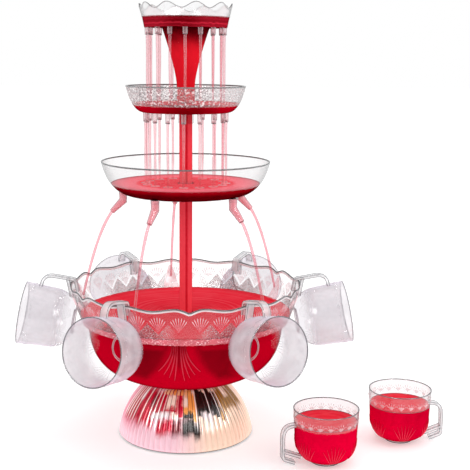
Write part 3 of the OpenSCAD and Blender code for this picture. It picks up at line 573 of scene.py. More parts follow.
bowl_out = bowl_side(0)
bowl_plastic = clear_plastic(
    "bowl_plastic", veil=0.02, edge=0.6, tint=(0.92, 0.915, 0.92), thin=below(LEDGE_Z),
    pebbles=pebbled_band, fill=0.3, cracks=(0.14, 0.08, 0.085), stones=(0.42, 0.2, 0.22),
    glint=(0.62, 0.42, 0.44))
bowl_wall = lathe([(41, FLOOR_Z)] + bowl_out, 288, wavy(WAVE_Z, RIM_Z, bowl_rim))
piece("bowl_wall", bowl_wall, bowl_plastic, "bowl", ["punch_bowl"])
rim_path = [around(a, RIM_R - 0.8, RIM_Z - 0.8 - bowl_rim(a)) for a in full_turn(288)]
rim_plastic = clear_plastic("rim_plastic", (0.12, 0.12, 0.125), (0.03, 0.03, 0.035), veil=0.8, edge=0.3)
piece("bowl_rim", tube(rim_path, 0.75, 10, closed=True), rim_plastic, "bowl")
# Painted highlight: a pale bead just under the bowl's rim stands for light caught by the rim.
rim_highlight_plastic = clear_plastic("painted_rim_highlight", (0.97, 0.9, 0.91), (0.7, 0.6, 0.62), veil=0.7, edge=0.2)
RIM_LIGHT_IN, RIM_LIGHT_DOWN = 0.9965, 1.9
below_rim = [(x * RIM_LIGHT_IN, y * RIM_LIGHT_IN, z - RIM_LIGHT_DOWN) for x, y, z in rim_path]
piece("bowl_rim_light", tube(below_rim, 1.0, 8, closed=True), rim_highlight_plastic, "bowl")
upper_line = [p for p in bowl_out if p[1] >= LEDGE_Z + LEDGE_ROUND]
fans = [shell_fan(upper_line, radians(FAN_PITCH * k + FAN_TURN), FAN_Z, FAN_HIGH, radians(32),
                  rays=7, lift=0.15) for k in range(360 // FAN_PITCH)]
ray_plastic = clear_plastic("fan_ray_plastic", (0.98, 0.7, 0.74), (0.7, 0.5, 0.54), veil=0.65, edge=0.2)
fan_rays, fan_heels = [joined(*shapes) for shapes in zip(*fans)]
piece("bowl_fan_rays", fan_rays, ray_plastic, "bowl", crease=20)
heel_plastic = clear_plastic("heel_plastic", (1.0, 0.3, 0.36), (0.8, 0.3, 0.35), veil=0.2, edge=0.1)
piece("bowl_fan_heels", fan_heels, heel_plastic, "bowl", crease=20)


def knobbly(r, z, a):
    """Uneven pebbles along the ledge."""
    lump = sin(97 * a) * sin(31 * a + z) + 0.5 * sin(57 * a + 2 * z)
    return r + 0.12 * lump, z + 0.35 * lump


ledge_plastic = clear_plastic(
    "ledge_plastic", (0.9, 0.14, 0.18), (0.6, 0.1, 0.12), veil=0.7, edge=0.2,
    pebbles=lambda f: f.noise(6.0).ramp(0.3, 0.7) * 0.8, cracks=(0.45, 0.06, 0.09), stones=(0.8, 0.16, 0.2),
    glint=(0.98, 0.72, 0.76))
ledge_band = [(121.4, LEDGE_Z), (123.4, LEDGE_Z + 0.1), (124.8, LEDGE_Z + 0.8), (125.2, LEDGE_Z + 2)]
ledge_band += [(radius_at(bowl_out, LEDGE_Z + h) + 0.25, LEDGE_Z + h) for h in (3.4, 4.6, 5.8, 7.0, 8.2)]
piece("bowl_ledge_band", lathe(ledge_band, 720, knobbly), ledge_plastic, "bowl")
RAY_FANS, FIRST_FAN, RAY_STEP = 3, -93.7, 3
RAY_TOP_Z, RAY_LONG = 142, 48
belly_line = bowl_out[:BELLY_STEPS + 1]
rays = []
for fan in range(RAY_FANS):
    for k in (-4, -3, -2, -1, 1, 2, 3, 4):
        def ray_spot(s):
            a = radians(FIRST_FAN + 360 / RAY_FANS * fan) + radians(RAY_STEP) * k * (0.3 + 0.7 * s ** 2)
            return a, RAY_TOP_Z - (RAY_LONG - 4 * abs(k)) * s
        rays.append(stroke(belly_line, ray_spot, sides=6, steps=12, start=0.1, thin=0.3, thick=0.55))


# Punch in the bowl: a bright red drink up to just over the ledge, with a faint swirl on its surface.
# It rides with the bowl; the solids leave it out.
def lit_from(dark_z, light_z, wide_mm):
    """Light that grows from one height in mm to another and fades towards the sides."""
    def flare(x, y, z, swirl):
        share = (z.ramp(dark_z * MM, light_z * MM) * 0.8 + swirl * 0.7 - 0.25).ramp(0.0, 1.0)
        return share * (1 - abs(x).ramp(wide_mm * 0.3 * MM, wide_mm * MM) * 0.7)
    return flare


def punch(name, light, deep, flare, streak_mm=40, level_z=None, ring_mm=500, calm=(0.78, 0.02, 0.04),
          pale=(0.9, 0.2, 0.25)):
    """Red drink: flare(x, y, z, swirl) gives the share of painted light against deep, with slow streaks, and
    it is darker seen edge on. A level surface is calm red with paler rings of painted highlight, and pale
    outside ring_mm."""
    f = Finish(name)
    x, y, z = f.axes()
    swirl = f.noise(streak_mm, 3.0, twist=1.5)
    colour = f.blend(flare(x, y, z, swirl), deep, light)
    colour = f.blend(f.facing().ramp(0.7, 1.0) * 0.7, colour, tuple(c * 0.5 for c in deep))
    if level_z:
        level = abs(f.normals()[2]).ramp(0.9, 0.99) * z.ramp((level_z - 3) * MM, (level_z - 1) * MM)
        out = (x * x + y * y) ** 0.5
        # Painted highlights: paler rings on the level surface, broken up by the swirl.
        rings = (f.layers(out * 1000, 0.22) * 0.7 + swirl * 0.5).ramp(0.45, 0.85) * 0.4
        surface = f.blend(rings, calm, (0.9, 0.14, 0.17))
        surface = f.blend(out.ramp((ring_mm - 3) * MM, (ring_mm + 3) * MM) * 0.7, surface, pale)
        colour = f.blend(level, colour, surface)
    return f.show(f.body({
        "Base Color": colour, "Roughness": swirl * 0.1 + 0.2, "Specular IOR Level": 0.0,
        "Normal": f.bump(swirl, 1.5, 0.3)}))


bowl_in = bowl_side(3.2)
held_in = bowl_side(0.5)
held = [p for p in held_in if p[1] < PUNCH_Z - 0.6]
brim = radius_at(held_in, PUNCH_Z)
bowl_punch = ([(r, PUNCH_Z) for r in (8.8, 30, 60, 90, 115, brim - 1.5)] + [(brim - 0.2, PUNCH_Z + 0.7)]
              + held[::-1] + [(38, 70.6), (24.5, 73.2)])


def lit_belly(x, y, z, swirl):
    """The lamp below lights a flare that widens downwards, a crescent under the ledge and the far sides."""
    off = abs(x + 0.004)
    depth = LEDGE_Z * MM - z
    middle = 1 - (off - depth * depth * 12).ramp(0.008, 0.024)
    crescent = 1 - (depth - off * 0.04).ramp(0.004, 0.009)
    far = off.ramp(0.045, 0.085) * 0.95
    bottom = depth.ramp(0.038, 0.054) * 0.7
    shadow = (x + 0.0075).between(-0.0015, 0.0015, 0.0008) * (1 - depth.ramp(0.02, 0.04)) * 0.7
    lit = (middle * 0.75).most(crescent * off.ramp(0.012, 0.024) * 0.5).most(far).most(bottom)
    return (lit + swirl * 0.3) * (1 - shadow)


bowl_drink = punch("bowl_drink", (0.64, 0.0, 0.016), (0.21, 0.001, 0.006), lit_belly, 60, PUNCH_Z)
piece("bowl_punch", lathe(bowl_punch, 144), bowl_drink, "bowl")
ray_drink = punch("ray_drink", (0.66, 0.04, 0.07), (0.3, 0.002, 0.012), lit_from(165, 100, 400), 12)
piece("bowl_rays", joined(*rays), ray_drink, "bowl")
foot_ring = [(36.4, FLOOR_Z), (36.4, NECK_Z), (41, NECK_Z), (41, FLOOR_Z), (46.8, FLOOR_Z + 0.1)]
piece("bowl_foot", lathe(foot_ring, 144), bowl_drink, "bowl")
SPOUT_ANGLES = [radians(27 + 72 * k) for k in range(5)]
PATCH_TOP_Z, PATCH_LONG, PATCH_STEPS = 181, 29, 6
wet_patches = []
for middle in SPOUT_ANGLES:
    rows = []
    for i in range(PATCH_STEPS + 1):
        s = i / PATCH_STEPS
        half, z = (2 + 9 * s) / 126, PATCH_TOP_Z - PATCH_LONG * s
        rows.append([on_turn(bowl_in, middle + half * (2 * j / PATCH_STEPS - 1), z, -0.5)
                     for j in range(PATCH_STEPS + 1)])
    wet_patches.append(skin(rows, loop=False))
WET_PINK = (0.9, 0.4, 0.45)
wet_wall = clear_plastic("wet_wall", WET_PINK, WET_PINK, veil=0.4, edge=0.0)
piece("bowl_wet_patches", joined(*wet_patches), wet_wall, "bowl")

# Impeller, pump cover and gaskets: the impeller turns on a steel pin in the bowl's floor, and its magnet
# follows the motor's. A clear slotted cover sits over it and takes the column in a silicone ring.
# The window over the lamps is moulded in the same clear plastic.
dress(steel, "impeller_pin")
dress(moulded("impeller_plastic", (0.85, 0.85, 0.83), 0.35, 1.0), "impeller")
dress(magnet, "impeller_magnet")
dress(clear_plastic("tube_plastic", veil=0.02, edge=0.35), "pump_cover", "light_window")
silicone = moulded("silicone", (0.8, 0.8, 0.78), 0.55, 1.5)
dress(silicone, "cover_gasket", "lower_gaskets", "middle_gaskets")

# Columns: two clear extruded tubes cut square, full of rising punch. The lower one plugs into the pump
# cover, and the upper one stands on the lower tier.
COLUMN_R, BORE_R = 8, 6.4


def rising(x, y, z, swirl):
    """Punch in a tube: a painted lit core with one deeper line of painted shade along it."""
    return swirl * 0.3 + 0.75 - x.between(-0.0005, 0.0022, 0.0008) * 0.75


wet_tube = clear_plastic("wet_tube", veil=0.0, edge=0.6, thin=lambda f: f.noise(9.0).ramp(0.9, 0.7))
column_punch = punch("column_drink", (1.0, 0.075, 0.105), (0.6, 0.002, 0.015), rising, 9)
for name, low, high in (("lower_column", 108.8, 297.0), ("upper_column", 301.0, 392.2)):
    wall = [(BORE_R, low), (COLUMN_R, low), (COLUMN_R, high), (BORE_R, high)]
    piece(name + "_tube", lathe(wall, 64), wet_tube, name, [name])
    core = [(BORE_R - 0.4, low + 0.2), (COLUMN_R - 0.3, low + 0.6), (COLUMN_R - 0.3, high - 0.6),
            (BORE_R - 0.4, high - 0.2)]
    piece(name + "_punch", lathe(core, 64), column_punch, name)

# Lower tier: a plain clear dish moulded with a hub for the columns and five bosses for the spouts.
# It stands on the lower column's end and holds punch a third of the way up.
HUB_R = 9.7
LOWER_FLOOR_Z, LOWER_LEVEL = 294, 307.5
LOWER_RIM_R, LOWER_RIM_Z = 100, 334
BOSS_R = 76


def rim_ring(r, z, thick, sides=144):
    return tube([around(a, r, z) for a in full_turn(sides)], thick, 8, closed=True)


def filled(line, level):
    """Punch in a dish: its surface from the hub to the wall, then down the wall and back over the floor."""
    hub, edge = HUB_R + 0.2, radius_at(line, level)
    side = [p for p in line if p[1] < level - 0.4]
    return ([(hub, level), ((hub + edge) / 2, level), (edge - 1.2, level), (edge - 0.4, level + 0.6)]
            + [(r - 0.4, z + 0.3) for r, z in side[::-1]] + [(hub, side[0][1] + 0.3)])


lower_side = curve([(66, LOWER_FLOOR_Z), (91, 297), (LOWER_RIM_R, LOWER_RIM_Z)], 26)
lower_dish = lathe([(HUB_R, 305.8), (HUB_R, 289), (HUB_R, LOWER_FLOOR_Z)] + lower_side, 144)
bosses = [tube([around(a, BOSS_R, 292), around(a, BOSS_R, 296.2)], 5.2, 20) for a in SPOUT_ANGLES]
lower_plastic = clear_plastic(
    "lower_tier_plastic", veil=0.02, edge=0.55, tint=(0.92, 0.92, 0.92), thin=below(LOWER_LEVEL))
piece("lower_dish", joined(lower_dish, *bosses), lower_plastic, "lower_tier", ["lower_tier"])
piece("lower_rim", rim_ring(LOWER_RIM_R - 1.2, LOWER_RIM_Z - 0.8, 0.9), rim_plastic, "lower_tier")
dish_punch = punch("dish_drink", (0.38, 0.0, 0.006), (0.1, 0.0, 0.002), lit_from(300, 308, 130),
                   level_z=LOWER_LEVEL, ring_mm=58, calm=(1.0, 0.02, 0.05), pale=(1.0, 0.22, 0.28))
piece("lower_punch", lathe(filled(lower_side, LOWER_LEVEL), 144), dish_punch, "lower_tier")

# Spouts: clear elbows pushed into the lower tier's bosses, which can be turned. Each throws a thin clear
# red stream in a falling arc to the wall of the bowl.
TIP_R, TIP_Z, BEND_Z = 89.8, 271.2, 285
ARC_SLOPE, ARC_BEND, ARC_STEP = 1.148, 0.0405, 1.5
spout_plastic = clear_plastic(
    "spout_plastic", (0.95, 0.6, 0.65), (0.1, 0.05, 0.055), veil=0.1, edge=0.9, power=1.0)
spout_drink = punch("spout_drink", (1.0, 0.38, 0.43), (0.9, 0.16, 0.21), lit_from(-200, 250, 400), 8)


def stream_finish(name, veil, edge, fade_z=0.0, tint=(0.98, 0.82, 0.84)):
    """A falling stream: pale pink and clear, with thin darker sides; it fades below a height in mm."""
    f = Finish(name)
    facing = f.facing()
    beads = f.noise(1000 / 90)
    fade = f.axes()[2].ramp((fade_z - 12) * MM, fade_z * MM) * 0.75 + 0.25
    share = (facing ** 1.6 * edge + beads * veil + veil * 0.5) * fade
    colour = f.blend(facing.ramp(0.35, 0.85), (0.95, 0.6, 0.64), (0.2, 0.13, 0.14))
    body = f.body({"Base Color": colour, "Roughness": 0.08, "Normal": f.bump(beads, 0.6, 0.4)})
    return f.show(f.mixed(share, f.glass(tint), body))


arc_stream = stream_finish("arc_stream", veil=0.1, edge=1.0, tint=(0.97, 0.7, 0.735))
for k, a in enumerate(SPOUT_ANGLES):
    name = f"spout_{k + 1}"
    elbow = [around(a, BOSS_R, 296.4), around(a, BOSS_R, BEND_Z), around(a, TIP_R, TIP_Z)]
    piece(name + "_elbow", tube(elbow, [5, 4.9, 3.25], 28), spout_plastic, name, [name])
    core = [around(a, BOSS_R, 296), around(a, BOSS_R, BEND_Z), around(a, TIP_R - 0.4, TIP_Z + 0.4)]
    piece(name + "_punch", tube(core, [4.3, 4.2, 2.6], 16), spout_drink, name)
    path, radii = [], []
    for i in range(30):
        d = i * ARC_STEP
        r, z = TIP_R - 2 + d, TIP_Z + 2 - (ARC_SLOPE * d + ARC_BEND * d * d) + 0.3
        if z < RIM_Z - 0.5 and r > radius_at(bowl_in, max(z, PUNCH_Z + 1)) - 1.2 or z < PUNCH_Z:
            break
        path.append(around(a, r, z))
        radii.append(1.8 - 0.4 * i / 30 + 0.08 * sin(i * 0.7 + k))
    piece(name + "_stream", tube(path, radii, 14), arc_stream, name)

# Middle tier: a smaller clear dish, pebbled on its wall, with a ring of sixteen short nozzles under its
# edge and a long collar over the upper column. Punch falls from each nozzle and ripples the dish below.
MIDDLE_FLOOR_Z, MIDDLE_LEVEL = 391, 401.5
MIDDLE_RIM_R, MIDDLE_RIM_Z = 70.4, 422
MIDDLE_TIP_Z = 380
NOZZLES = 16
nozzle_plastic = clear_plastic(
    "nozzle_plastic", (0.95, 0.72, 0.75), (0.06, 0.035, 0.04), veil=0.1, edge=0.95, tint=(0.9, 0.8, 0.81),
    power=1.2)


def pebbled_wall(f):
    x, z = f.axes()[::2]
    return z.ramp(0.399, 0.4015) * (1 - z.ramp(0.4195, 0.4205)) * (1 - x.ramp(0.015, 0.045) * 0.4)


def nozzle_spots(radius, first):
    """Centres of a ring of nozzles from the angle of the first in degrees."""
    return [around(radians(first) + a, radius, 0)[:2] for a in full_turn(NOZZLES)]


def copies(shape, spots):
    points, faces = shape
    return joined(*[([(x + dx, y + dy, z) for x, y, z in points], faces) for dx, dy in spots])


def nozzle_ring(tier, spots, tip_z, floor_z):
    """Short tapered pipes under a floor; each has a lip turned in at its end, which shows as a dark line."""
    heights = (floor_z + 0.2, tip_z + 0.6, tip_z, tip_z, tip_z + 3)
    pipe = tube([(0, 0, z) for z in heights], [2.9, 2.75, 2.5, 1.5, 1.4], 18)
    lip = rim_ring(2.4, tip_z + 0.4, 0.4, 18)
    piece(tier + "_nozzles", copies(pipe, spots), nozzle_plastic, tier + "_tier")
    piece(tier + "_nozzle_lips", copies(lip, spots), rim_plastic, tier + "_tier")


def falling_ring(spots, high, low):
    """Streams from a ring of nozzles that thin and sway a little as they fall."""
    shapes = []
    for k, (x, y) in enumerate(spots):
        path, radii = [], []
        for i in range(16):
            s = i / 15
            sway = 0.35 * sin(s * 5 + k * 1.7) * s
            path.append((x + sway * cos(k), y + sway * sin(k), high + (low - high) * s))
            radii.append(1.7 - 0.45 * s + 0.1 * sin(s * 9 + k * 2.3))
        shapes.append(tube(path, radii, 12))
    return joined(*shapes)


def lit_sides(x, y, z, swirl):
    """A shallow dish of punch: light through its thin edge, dark under its middle."""
    return abs(x).ramp(0.008, 0.05) * 0.7 + z.ramp(0.394, 0.402) * 0.2 + swirl * 0.4 - 0.15


middle_spots = nozzle_spots(47.4, 267)
middle_side = curve([(51, MIDDLE_FLOOR_Z), (63.5, 392.5), (MIDDLE_RIM_R, MIDDLE_RIM_Z)], 24)
middle_plastic = clear_plastic(
    "middle_plastic", veil=0.1, edge=0.55, tint=(0.9, 0.895, 0.895), thin=below(MIDDLE_LEVEL - 2),
    pebbles=pebbled_wall, cell_mm=2.5, cracks=(0.07, 0.045, 0.05), stones=(0.78, 0.66, 0.68))
middle_dish = [(HUB_R, 400.8), (HUB_R, 378), (HUB_R, MIDDLE_FLOOR_Z)] + middle_side
piece("middle_dish", lathe(middle_dish, 144), middle_plastic, "middle_tier", ["middle_tier"])
nozzle_ring("middle", middle_spots, MIDDLE_TIP_Z, MIDDLE_FLOOR_Z)
piece("middle_rim", rim_ring(MIDDLE_RIM_R - 1.1, MIDDLE_RIM_Z - 0.7, 0.8), rim_plastic, "middle_tier")
middle_drink = punch("middle_drink", (0.56, 0.0, 0.012), (0.21, 0.0, 0.003), lit_sides, 25, MIDDLE_LEVEL)
piece("middle_punch", lathe(filled(middle_side, MIDDLE_LEVEL), 144), middle_drink, "middle_tier")
landing_stream = stream_finish("landing_stream", veil=0.14, edge=0.75, fade_z=332)
middle_streams = falling_ring(middle_spots, MIDDLE_TIP_Z + 2, LOWER_LEVEL + 0.3)
piece("middle_streams", middle_streams, landing_stream, "middle_tier")
ripples = copies(rim_ring(5.2, LOWER_LEVEL + 0.2, 0.3, 28), middle_spots)
piece("lower_ripples", ripples, ray_plastic, "lower_tier")

# Top tier and funnel: a clear cup with a ten-lobed rim and sixteen nozzles, dropped over the flange of a
# clear funnel that plugs into the middle tier. Punch rises through the funnel and fills the cup.
TOP_FLOOR_Z, TOP_LEVEL, TOP_RIM_Z = 488, 500, 516
TOP_FLOOR_R, TOP_FLARE = 48.4, 5.8
TOP_TURN, TOP_DIP, TOP_WAVE_Z = -5.5, 3.25, 502
TOP_TIP_Z = 480


def top_rim(a):
    """Drop of the rim at an angle, in ten even lobes."""
    u = abs((degrees(a) - TOP_TURN + 18) % 36 - 18) / 18
    return TOP_DIP * (1 - cos(pi * u))


top_high = TOP_RIM_Z - TOP_FLOOR_Z
top_line = [(28, TOP_FLOOR_Z), (40, TOP_FLOOR_Z)]
top_line += [(TOP_FLOOR_R + TOP_FLARE * i / 12, TOP_FLOOR_Z + top_high * i / 12) for i in range(13)]
top_plastic = clear_plastic(
    "top_tier_plastic", veil=0.3, edge=0.5, tint=(0.93, 0.93, 0.93), thin=below(TOP_LEVEL))
top_cup = lathe(top_line, 240, wavy(TOP_WAVE_Z, TOP_RIM_Z, top_rim))
piece("top_cup", top_cup, top_plastic, "top_tier", ["top_tier"])
top_path = [around(a, 53.4 - TOP_FLARE * top_rim(a) / top_high, TOP_RIM_Z - 0.6 - top_rim(a))
            for a in full_turn(240)]


def inward(f):
    """A mask of faces that look towards the axis: a clear rim is dark along its outer edge only."""
    x, y = f.axes()[:2]
    along_x, along_y = f.normals()[:2]
    return (x * along_x + y * along_y).ramp(0.005, -0.01) * 0.85


top_rim_plastic = clear_plastic(
    "top_rim_plastic", (0.09, 0.09, 0.095), (0.03, 0.03, 0.035), veil=0.9, edge=0.3, thin=inward)
piece("top_rim", tube(top_path, 0.5, 8, closed=True), top_rim_plastic, "top_tier")
top_spots = nozzle_spots(44.7, 269)
nozzle_ring("top", top_spots, TOP_TIP_Z, TOP_FLOOR_Z)
STEM_R, MOUTH_R, FLANGE_R = 10.9, 27.9, 30.9
flare = curve([(STEM_R, 421.4), (11.92, 441.38), (MOUTH_R, TOP_FLOOR_Z)], 24)
funnel_line = ([(8, 396.2), (8, 401.4), (STEM_R, 401.4)] + flare
               + [(MOUTH_R, 490.2), (FLANGE_R, 490.2), (FLANGE_R, 492), (26.1, 492)])
piece("funnel_wall", lathe(funnel_line, 96), wet_tube, "top_tier", ["top_funnel"])


def level_streaks(x, y, z, swirl):
    """Punch that moves round the cup, with painted light: flat lighter streaks, and lighter to the left and
    right of the feed.
    """
    bands = z.finish.layers(z * 1000 + swirl * 3, 0.4, 2.0)
    return bands.ramp(0.45, 0.7) * 0.7 + abs(x + 0.004).ramp(0.006, 0.03) * 0.25


top_punch = [(r, TOP_LEVEL) for r in (0.02, 12, 30, 49.8)]
top_punch += [(50.5, TOP_LEVEL + 0.6), (48.0, TOP_FLOOR_Z + 0.3), (28.6, TOP_FLOOR_Z + 0.3)]
top_drink = punch("top_drink", (0.62, 0.02, 0.045), (0.16, 0.0, 0.003), level_streaks, 10, TOP_LEVEL)
piece("top_punch", lathe(top_punch, 144), top_drink, "top_tier")
funnel_punch = [(r - 0.4, z) for r, z in flare[::-1]] + [(10.5, 403), (7.6, 401), (7.6, 396.4)]
funnel_drink = punch("funnel_drink", (0.82, 0.012, 0.026), (0.07, 0.0, 0.002), lit_from(492, 455, 60), 50)
piece("funnel_punch", lathe(funnel_punch, 96), funnel_drink, "top_tier")
stream = stream_finish("stream", veil=0.14, edge=0.75)
top_streams = falling_ring(top_spots, TOP_TIP_Z + 2, MIDDLE_LEVEL + 0.3)
piece("top_streams", top_streams, stream, "top_tier")

# Cups: eight clear mouldings with a band of small fans, rayed below it, on a short foot. The strap handle
# ends in a hook that hangs on the bowl's rim. Six hang, and two stand beside the fountain with punch in.
CUP_FOOT_R, CUP_FLOOR_Z = 16.5, 2.5
CUP_R, CUP_WAIST_Z = 36, 34
MOUTH_FLARE, CUP_HIGH = 1.5, 64
CUP_STEPS = 22


def cup_side(wall):
    """Side of a cup above its foot, one wall further in: a round belly and a slightly flared upper half."""
    waist = CUP_R - wall
    low = belly((CUP_FOOT_R, CUP_FLOOR_Z + wall), (waist, CUP_WAIST_Z), [(0.72, 0.08), (1, 0.42)], CUP_STEPS)
    rise = CUP_HIGH - CUP_WAIST_Z
    return low + [(waist + MOUTH_FLARE * i / 8, CUP_WAIST_Z + rise * i / 8) for i in range(1, 9)]


def with_normals(path):
    """Each (x, z) point of a path with the direction square to the path there."""
    path = [Vector(p) for p in path]
    for i, p in enumerate(path):
        way = (path[min(i + 1, len(path) - 1)] - path[max(i - 1, 0)]).normalized()
        yield p, Vector((-way.y, way.x))


STRAP_W, STRAP_T = 9, 3.8


def strap(path):
    """A flat bar with rounded edges along (x, z) points, its width along Y."""
    w, t, c = STRAP_W / 2, STRAP_T / 2, STRAP_T * 0.3
    corner = [(w, t - c), (w - c * 0.3, t - c * 0.3), (w - c, t)]
    section = (corner + [(-u, v) for u, v in corner[::-1]] + [(-u, -v) for u, v in corner]
               + [(u, -v) for u, v in corner[::-1]])
    rows = [[(p.x + off.x * v, u, p.y + off.y * v) for u, v in section] for p, off in with_normals(path)]
    return capped(skin(rows), len(section))


def strap_edges(path):
    """The four edges of a strap, which show as dark lines in clear plastic."""
    w, t = STRAP_W / 2 * 0.92, STRAP_T / 2 * 0.8
    return joined(*[tube([(p.x + off.x * v, u, p.y + off.y * v) for p, off in with_normals(path)], 0.32, 6)
                    for u in (-w, w) for v in (-t, t)])


def rounded(a, b, c, reach):
    """The corner at b of a path from a to c, rounded from a reach before it to a reach after it."""
    a, b, c = Vector(a), Vector(b), Vector(c)
    return curve([b + (a - b).normalized() * reach, b, b + (c - b).normalized() * reach], 10)


HANG_TILT = radians(10)
HOOK_REACH, HOOK_SLOT, HOOK_TAIL, STAND_OFF = 48, 4.8, 15, 1.3
HALF_WALL, FREE_GAP = 1.5, 0.4
HANDLE_TOP_Z = 46
slot_angle = HANG_TILT + atan((RIM_R - SHOULDER_R) / (RIM_Z - SHOULDER_Z))
slot_way = Vector((cos(slot_angle), sin(slot_angle)))
slot_end = Vector((HOOK_REACH, ((HOOK_REACH - CUP_FOOT_R) * slot_way.y - STAND_OFF) / slot_way.x))
arm_off = Vector((-slot_way.y, slot_way.x)) * ((HOOK_SLOT + STRAP_T) / 2)
grip_x = HOOK_REACH + HALF_WALL * slot_way.y + FREE_GAP + STRAP_T / 2


def slid(point, x):
    """A point slid along the hook's slot to a distance from the cup's axis."""
    return point + slot_way * ((x - point.x) / slot_way.x)


tail = slid(slot_end - arm_off, grip_x)
tail_end = tail - slot_way * HOOK_TAIL
upper, corner = (35, HANDLE_TOP_Z), (grip_x, HANDLE_TOP_Z)
grip = [upper] + rounded(upper, corner, tail, 13.7) + rounded(corner, tail, tail_end, 3) + [tuple(tail_end)]
arm = [tuple(slid(slot_end + arm_off, grip_x)), tuple(slid(slot_end + arm_off, 30))]
cup_out = cup_side(0)
cup_wall = lathe([(0.02, 2.6), (13.5, 2.6), (14.2, 0), (CUP_FOOT_R, 0)] + cup_out, 96)
cup_plastic = clear_plastic(
    "cup_plastic", (0.72, 0.69, 0.73), (0.78, 0.7, 0.82), veil=0.5, edge=0.45, tint=(0.86, 0.845, 0.86),
    thin=lambda f: 1 - f.axes()[2].ramp(0.009, 0.028))
filled_plastic = clear_plastic(
    "filled_cup_plastic", (0.8, 0.78, 0.8), (0.1, 0.1, 0.11), veil=0.08, edge=0.6, tint=(0.89, 0.87, 0.875),
    thin=below(46))
handle_plastic = clear_plastic(
    "handle_plastic", (1.0, 1.0, 1.0), (0.16, 0.16, 0.18), veil=0.3, edge=0.6, tint=(0.95, 0.95, 0.96))
cup_rim_plastic = clear_plastic(
    "cup_rim_plastic", (0.16, 0.16, 0.18), (0.04, 0.04, 0.05), veil=0.55, edge=0.5)
CUP_FANS, CUP_FAN_Z, CUP_FAN_HIGH = 20, 47.5, 9.5
side_line = [p for p in cup_out if p[1] > 30]
small_fans = [shell_fan(side_line, radians(360 / CUP_FANS * (k + 0.5)), CUP_FAN_Z, CUP_FAN_HIGH,
                        radians(42), rays=5, lift=0.1) for k in range(CUP_FANS)]
cup_fans = joined(*[shape for fan in small_fans for shape in fan])
strokes = []
low_line = cup_out[:CUP_STEPS + 1]
for fan in range(6):
    for k in range(-3, 4):
        def cup_ray_spot(s):
            a = radians(60 * fan + 30) + radians(7.5) * k * (0.35 + 0.65 * s)
            return a, 8 + 23 * s * (1 - 0.03 * k * k)
        strokes.append(stroke(low_line, cup_ray_spot, sides=5, steps=8, start=0.15, thin=0.15, thick=0.35))
cup_rays = joined(*strokes)
cup_handle = joined(strap(grip), strap(arm))
cup_rim = joined(rim_ring(36.9, CUP_HIGH - 0.6, 0.7, 96), strap_edges(grip), strap_edges(arm))
cup_foot = joined(rim_ring(16.0, 0.6, 0.5, 48), rim_ring(13.4, 2.4, 0.4, 48))
cup_frost = clear_plastic("cup_relief", (0.75, 0.72, 0.76), (0.3, 0.29, 0.32), veil=0.16, edge=0.2)
faint_rays = clear_plastic("cup_ray_relief", (0.7, 0.67, 0.71), (0.4, 0.39, 0.42), veil=0.04, edge=0.1)
cup_shells = clear_plastic("cup_shell_relief", (0.98, 0.84, 0.87), (0.7, 0.6, 0.62), veil=0.34, edge=0.2)
foot_plastic = clear_plastic("cup_foot_plastic", (0.75, 0.66, 0.68), (0.3, 0.28, 0.3), veil=0.5, edge=0.3)
cup_ray_drink = punch("cup_ray_drink", (0.9, 0.045, 0.1), (0.5, 0.0, 0.02), lit_from(40, 8, 400), 6)
HUNG = 6
lean_in, lean_up = cos(HANG_TILT), sin(HANG_TILT)
hang_r = RIM_R - HALF_WALL - slot_end.y * lean_in + slot_end.x * lean_up
hang_z = RIM_Z - slot_end.y * lean_up - slot_end.x * lean_in
hung = (Matrix.Translation((hang_r * MM, 0, hang_z * MM)) @ Matrix.Rotation(pi / 2 - HANG_TILT, 4, "Y")
        @ Matrix.Rotation(pi, 4, "Z"))
places = [Matrix.Rotation(a, 4, "Z") @ hung for a in full_turn(HUNG)]
for x, y, way in ((159.4, -103.9, 190), (258.1, -38.0, 0)):
    places.append(Matrix.Translation((x * MM, y * MM, 0)) @ Matrix.Rotation(radians(way), 4, "Z"))
for k, place in enumerate(places):
    name = f"cup_{k + 1}"
    empty = k < HUNG
    piece(name + "_wall", cup_wall, cup_plastic if empty else filled_plastic, name, [name], place=place)
    piece(name + "_rim", cup_rim, cup_rim_plastic, name, place=place)
    piece(name + "_handle", cup_handle, handle_plastic, name, place=place, crease=25)
    piece(name + "_fans", cup_fans, cup_frost if empty else cup_shells, name, place=place)
    piece(name + "_rays", cup_rays, faint_rays if empty else cup_ray_drink, name, place=place)
    piece(name + "_foot", cup_foot, foot_plastic if empty else cup_rim_plastic, name, place=place)


def lit_cup(x, y, z, swirl):
    """A full cup: light in its body, deeper along its wall, its foot and just under the brim."""
    out = (x * x + y * y) ** 0.5
    shade = (x * 0.7 - y * 0.7).ramp(0.012, 0.034) * 0.35
    return 0.62 + swirl * 0.6 - shade - z.ramp(0.012, 0.004) * 0.5 - out.ramp(0.0352, 0.036) * 0.1


inside = cup_side(0.4)
for name, level, place in (("cup_7", 48.5, places[6]), ("cup_8", 45, places[7])):
    edge = radius_at(inside, level)
    drink = ([(0.02, level), (20, level), (edge - 1, level), (edge, level + 0.6)]
             + [p for p in inside if p[1] < level - 0.4][::-1] + [(0.02, 2.9)])
    cup_drink = punch(name + "_drink", (0.96, 0.0, 0.042), (0.42, 0.0, 0.014), lit_cup, 20, level)
    piece(name + "_punch", lathe(drink, 96), cup_drink, name, place=place)
    brim_ring = rim_ring(edge - 0.3, level + 0.2, 0.4, 72)
    piece(name + "_brim", brim_ring, rim_plastic, name, place=place)

# Studio: a plain white floor and wall of light, three large soft lamps, and the camera.
# The wall is white to the eye and through clear plastic. Mirrors see it white behind and above, and dark
# in front with two bright windows.
scene.world = bpy.data.worlds.new("studio")
studio = Finish("studio", scene.world)
x, y, z = studio.axes()


def backdrop(colour):
    return studio.node("Background", {}, {"Color": colour}, "Background")


def ray(kind):
    return studio.node("LightPath", {}, {}, f"Is {kind} Ray")


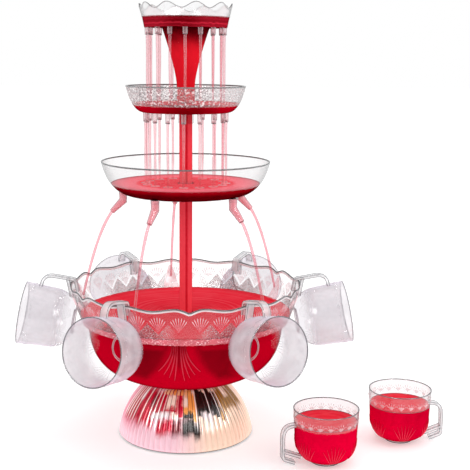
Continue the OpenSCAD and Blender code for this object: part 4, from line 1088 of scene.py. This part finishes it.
WHITE = (1, 1, 1)
behind = y.ramp(-0.2, 0.4).most(z.ramp(0.6, 0.95))
mirrored = studio.mixed(behind, backdrop((0.05, 0.05, 0.055)), backdrop(WHITE))
windows = abs(x).between(0.3, 0.62, 0.04) * z.between(0.35, 0.65, 0.04) * y.ramp(-0.1, -0.2)
mirrored = studio.mixed(windows, mirrored, backdrop((14, 14, 14)))
lit = studio.mixed(ray("Glossy"), backdrop((0.95, 0.95, 0.95)), mirrored)
studio.show(studio.mixed(ray("Camera").most(ray("Transmission")), lit, backdrop(WHITE)))

ground = Finish("white_floor")
white_floor = ground.show(ground.body({
    "Base Color": ground.blend(ground.noise(60.0), (0.73, 0.73, 0.73), (0.75, 0.75, 0.75)),
    "Roughness": 0.9, "Specular IOR Level": 0.0, "Emission Color": WHITE, "Emission Strength": 0.4}))
floor_mesh = bpy.data.meshes.new("floor")
floor_mesh.from_pydata([(-8, -8, 0), (8, -8, 0), (8, 14, 0), (-8, 14, 0)], [], [(0, 1, 2, 3)])
floor_mesh.materials.append(white_floor)
floor = placed("floor", floor_mesh)
floor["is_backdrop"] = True

AIM = Vector((0.05, 0, 0.2))
for name, spot, size, power in (
        ("lamp_left", (-1.4, -1.2, 1.7), 1.2, 4), ("lamp_right", (1.6, -0.8, 1.5), 1.2, 8),
        ("lamp_top", (0.1, 0.3, 2.2), 1.6, 8)):
    lamp = bpy.data.lights.new(name, "AREA")
    lamp.energy = power
    lamp.size = size
    holder = placed(name, lamp)
    holder.location = spot
    holder.rotation_euler = (AIM - Vector(spot)).to_track_quat("-Z", "Y").to_euler()

YAW, DOWN, ROLL = -2.86, 10.1, 0.5
SENSOR_MM, PICTURE_PX, FOCAL_PX = 36, 470, 1000
lens = bpy.data.cameras.new("camera")
lens.sensor_width = SENSOR_MM
lens.lens = SENSOR_MM * FOCAL_PX / PICTURE_PX
lens.clip_start = 0.01
camera = placed("camera", lens)
camera.location = (0, -1.1815, 0.4555)
yaw, roll = [Matrix.Rotation(radians(a), 4, "Z") for a in (YAW, ROLL)]
camera.rotation_euler = (yaw @ Matrix.Rotation(radians(90 - DOWN), 4, "X") @ roll).to_euler()
scene.camera = camera
scene.view_settings.view_transform = "Standard"

low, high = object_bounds()
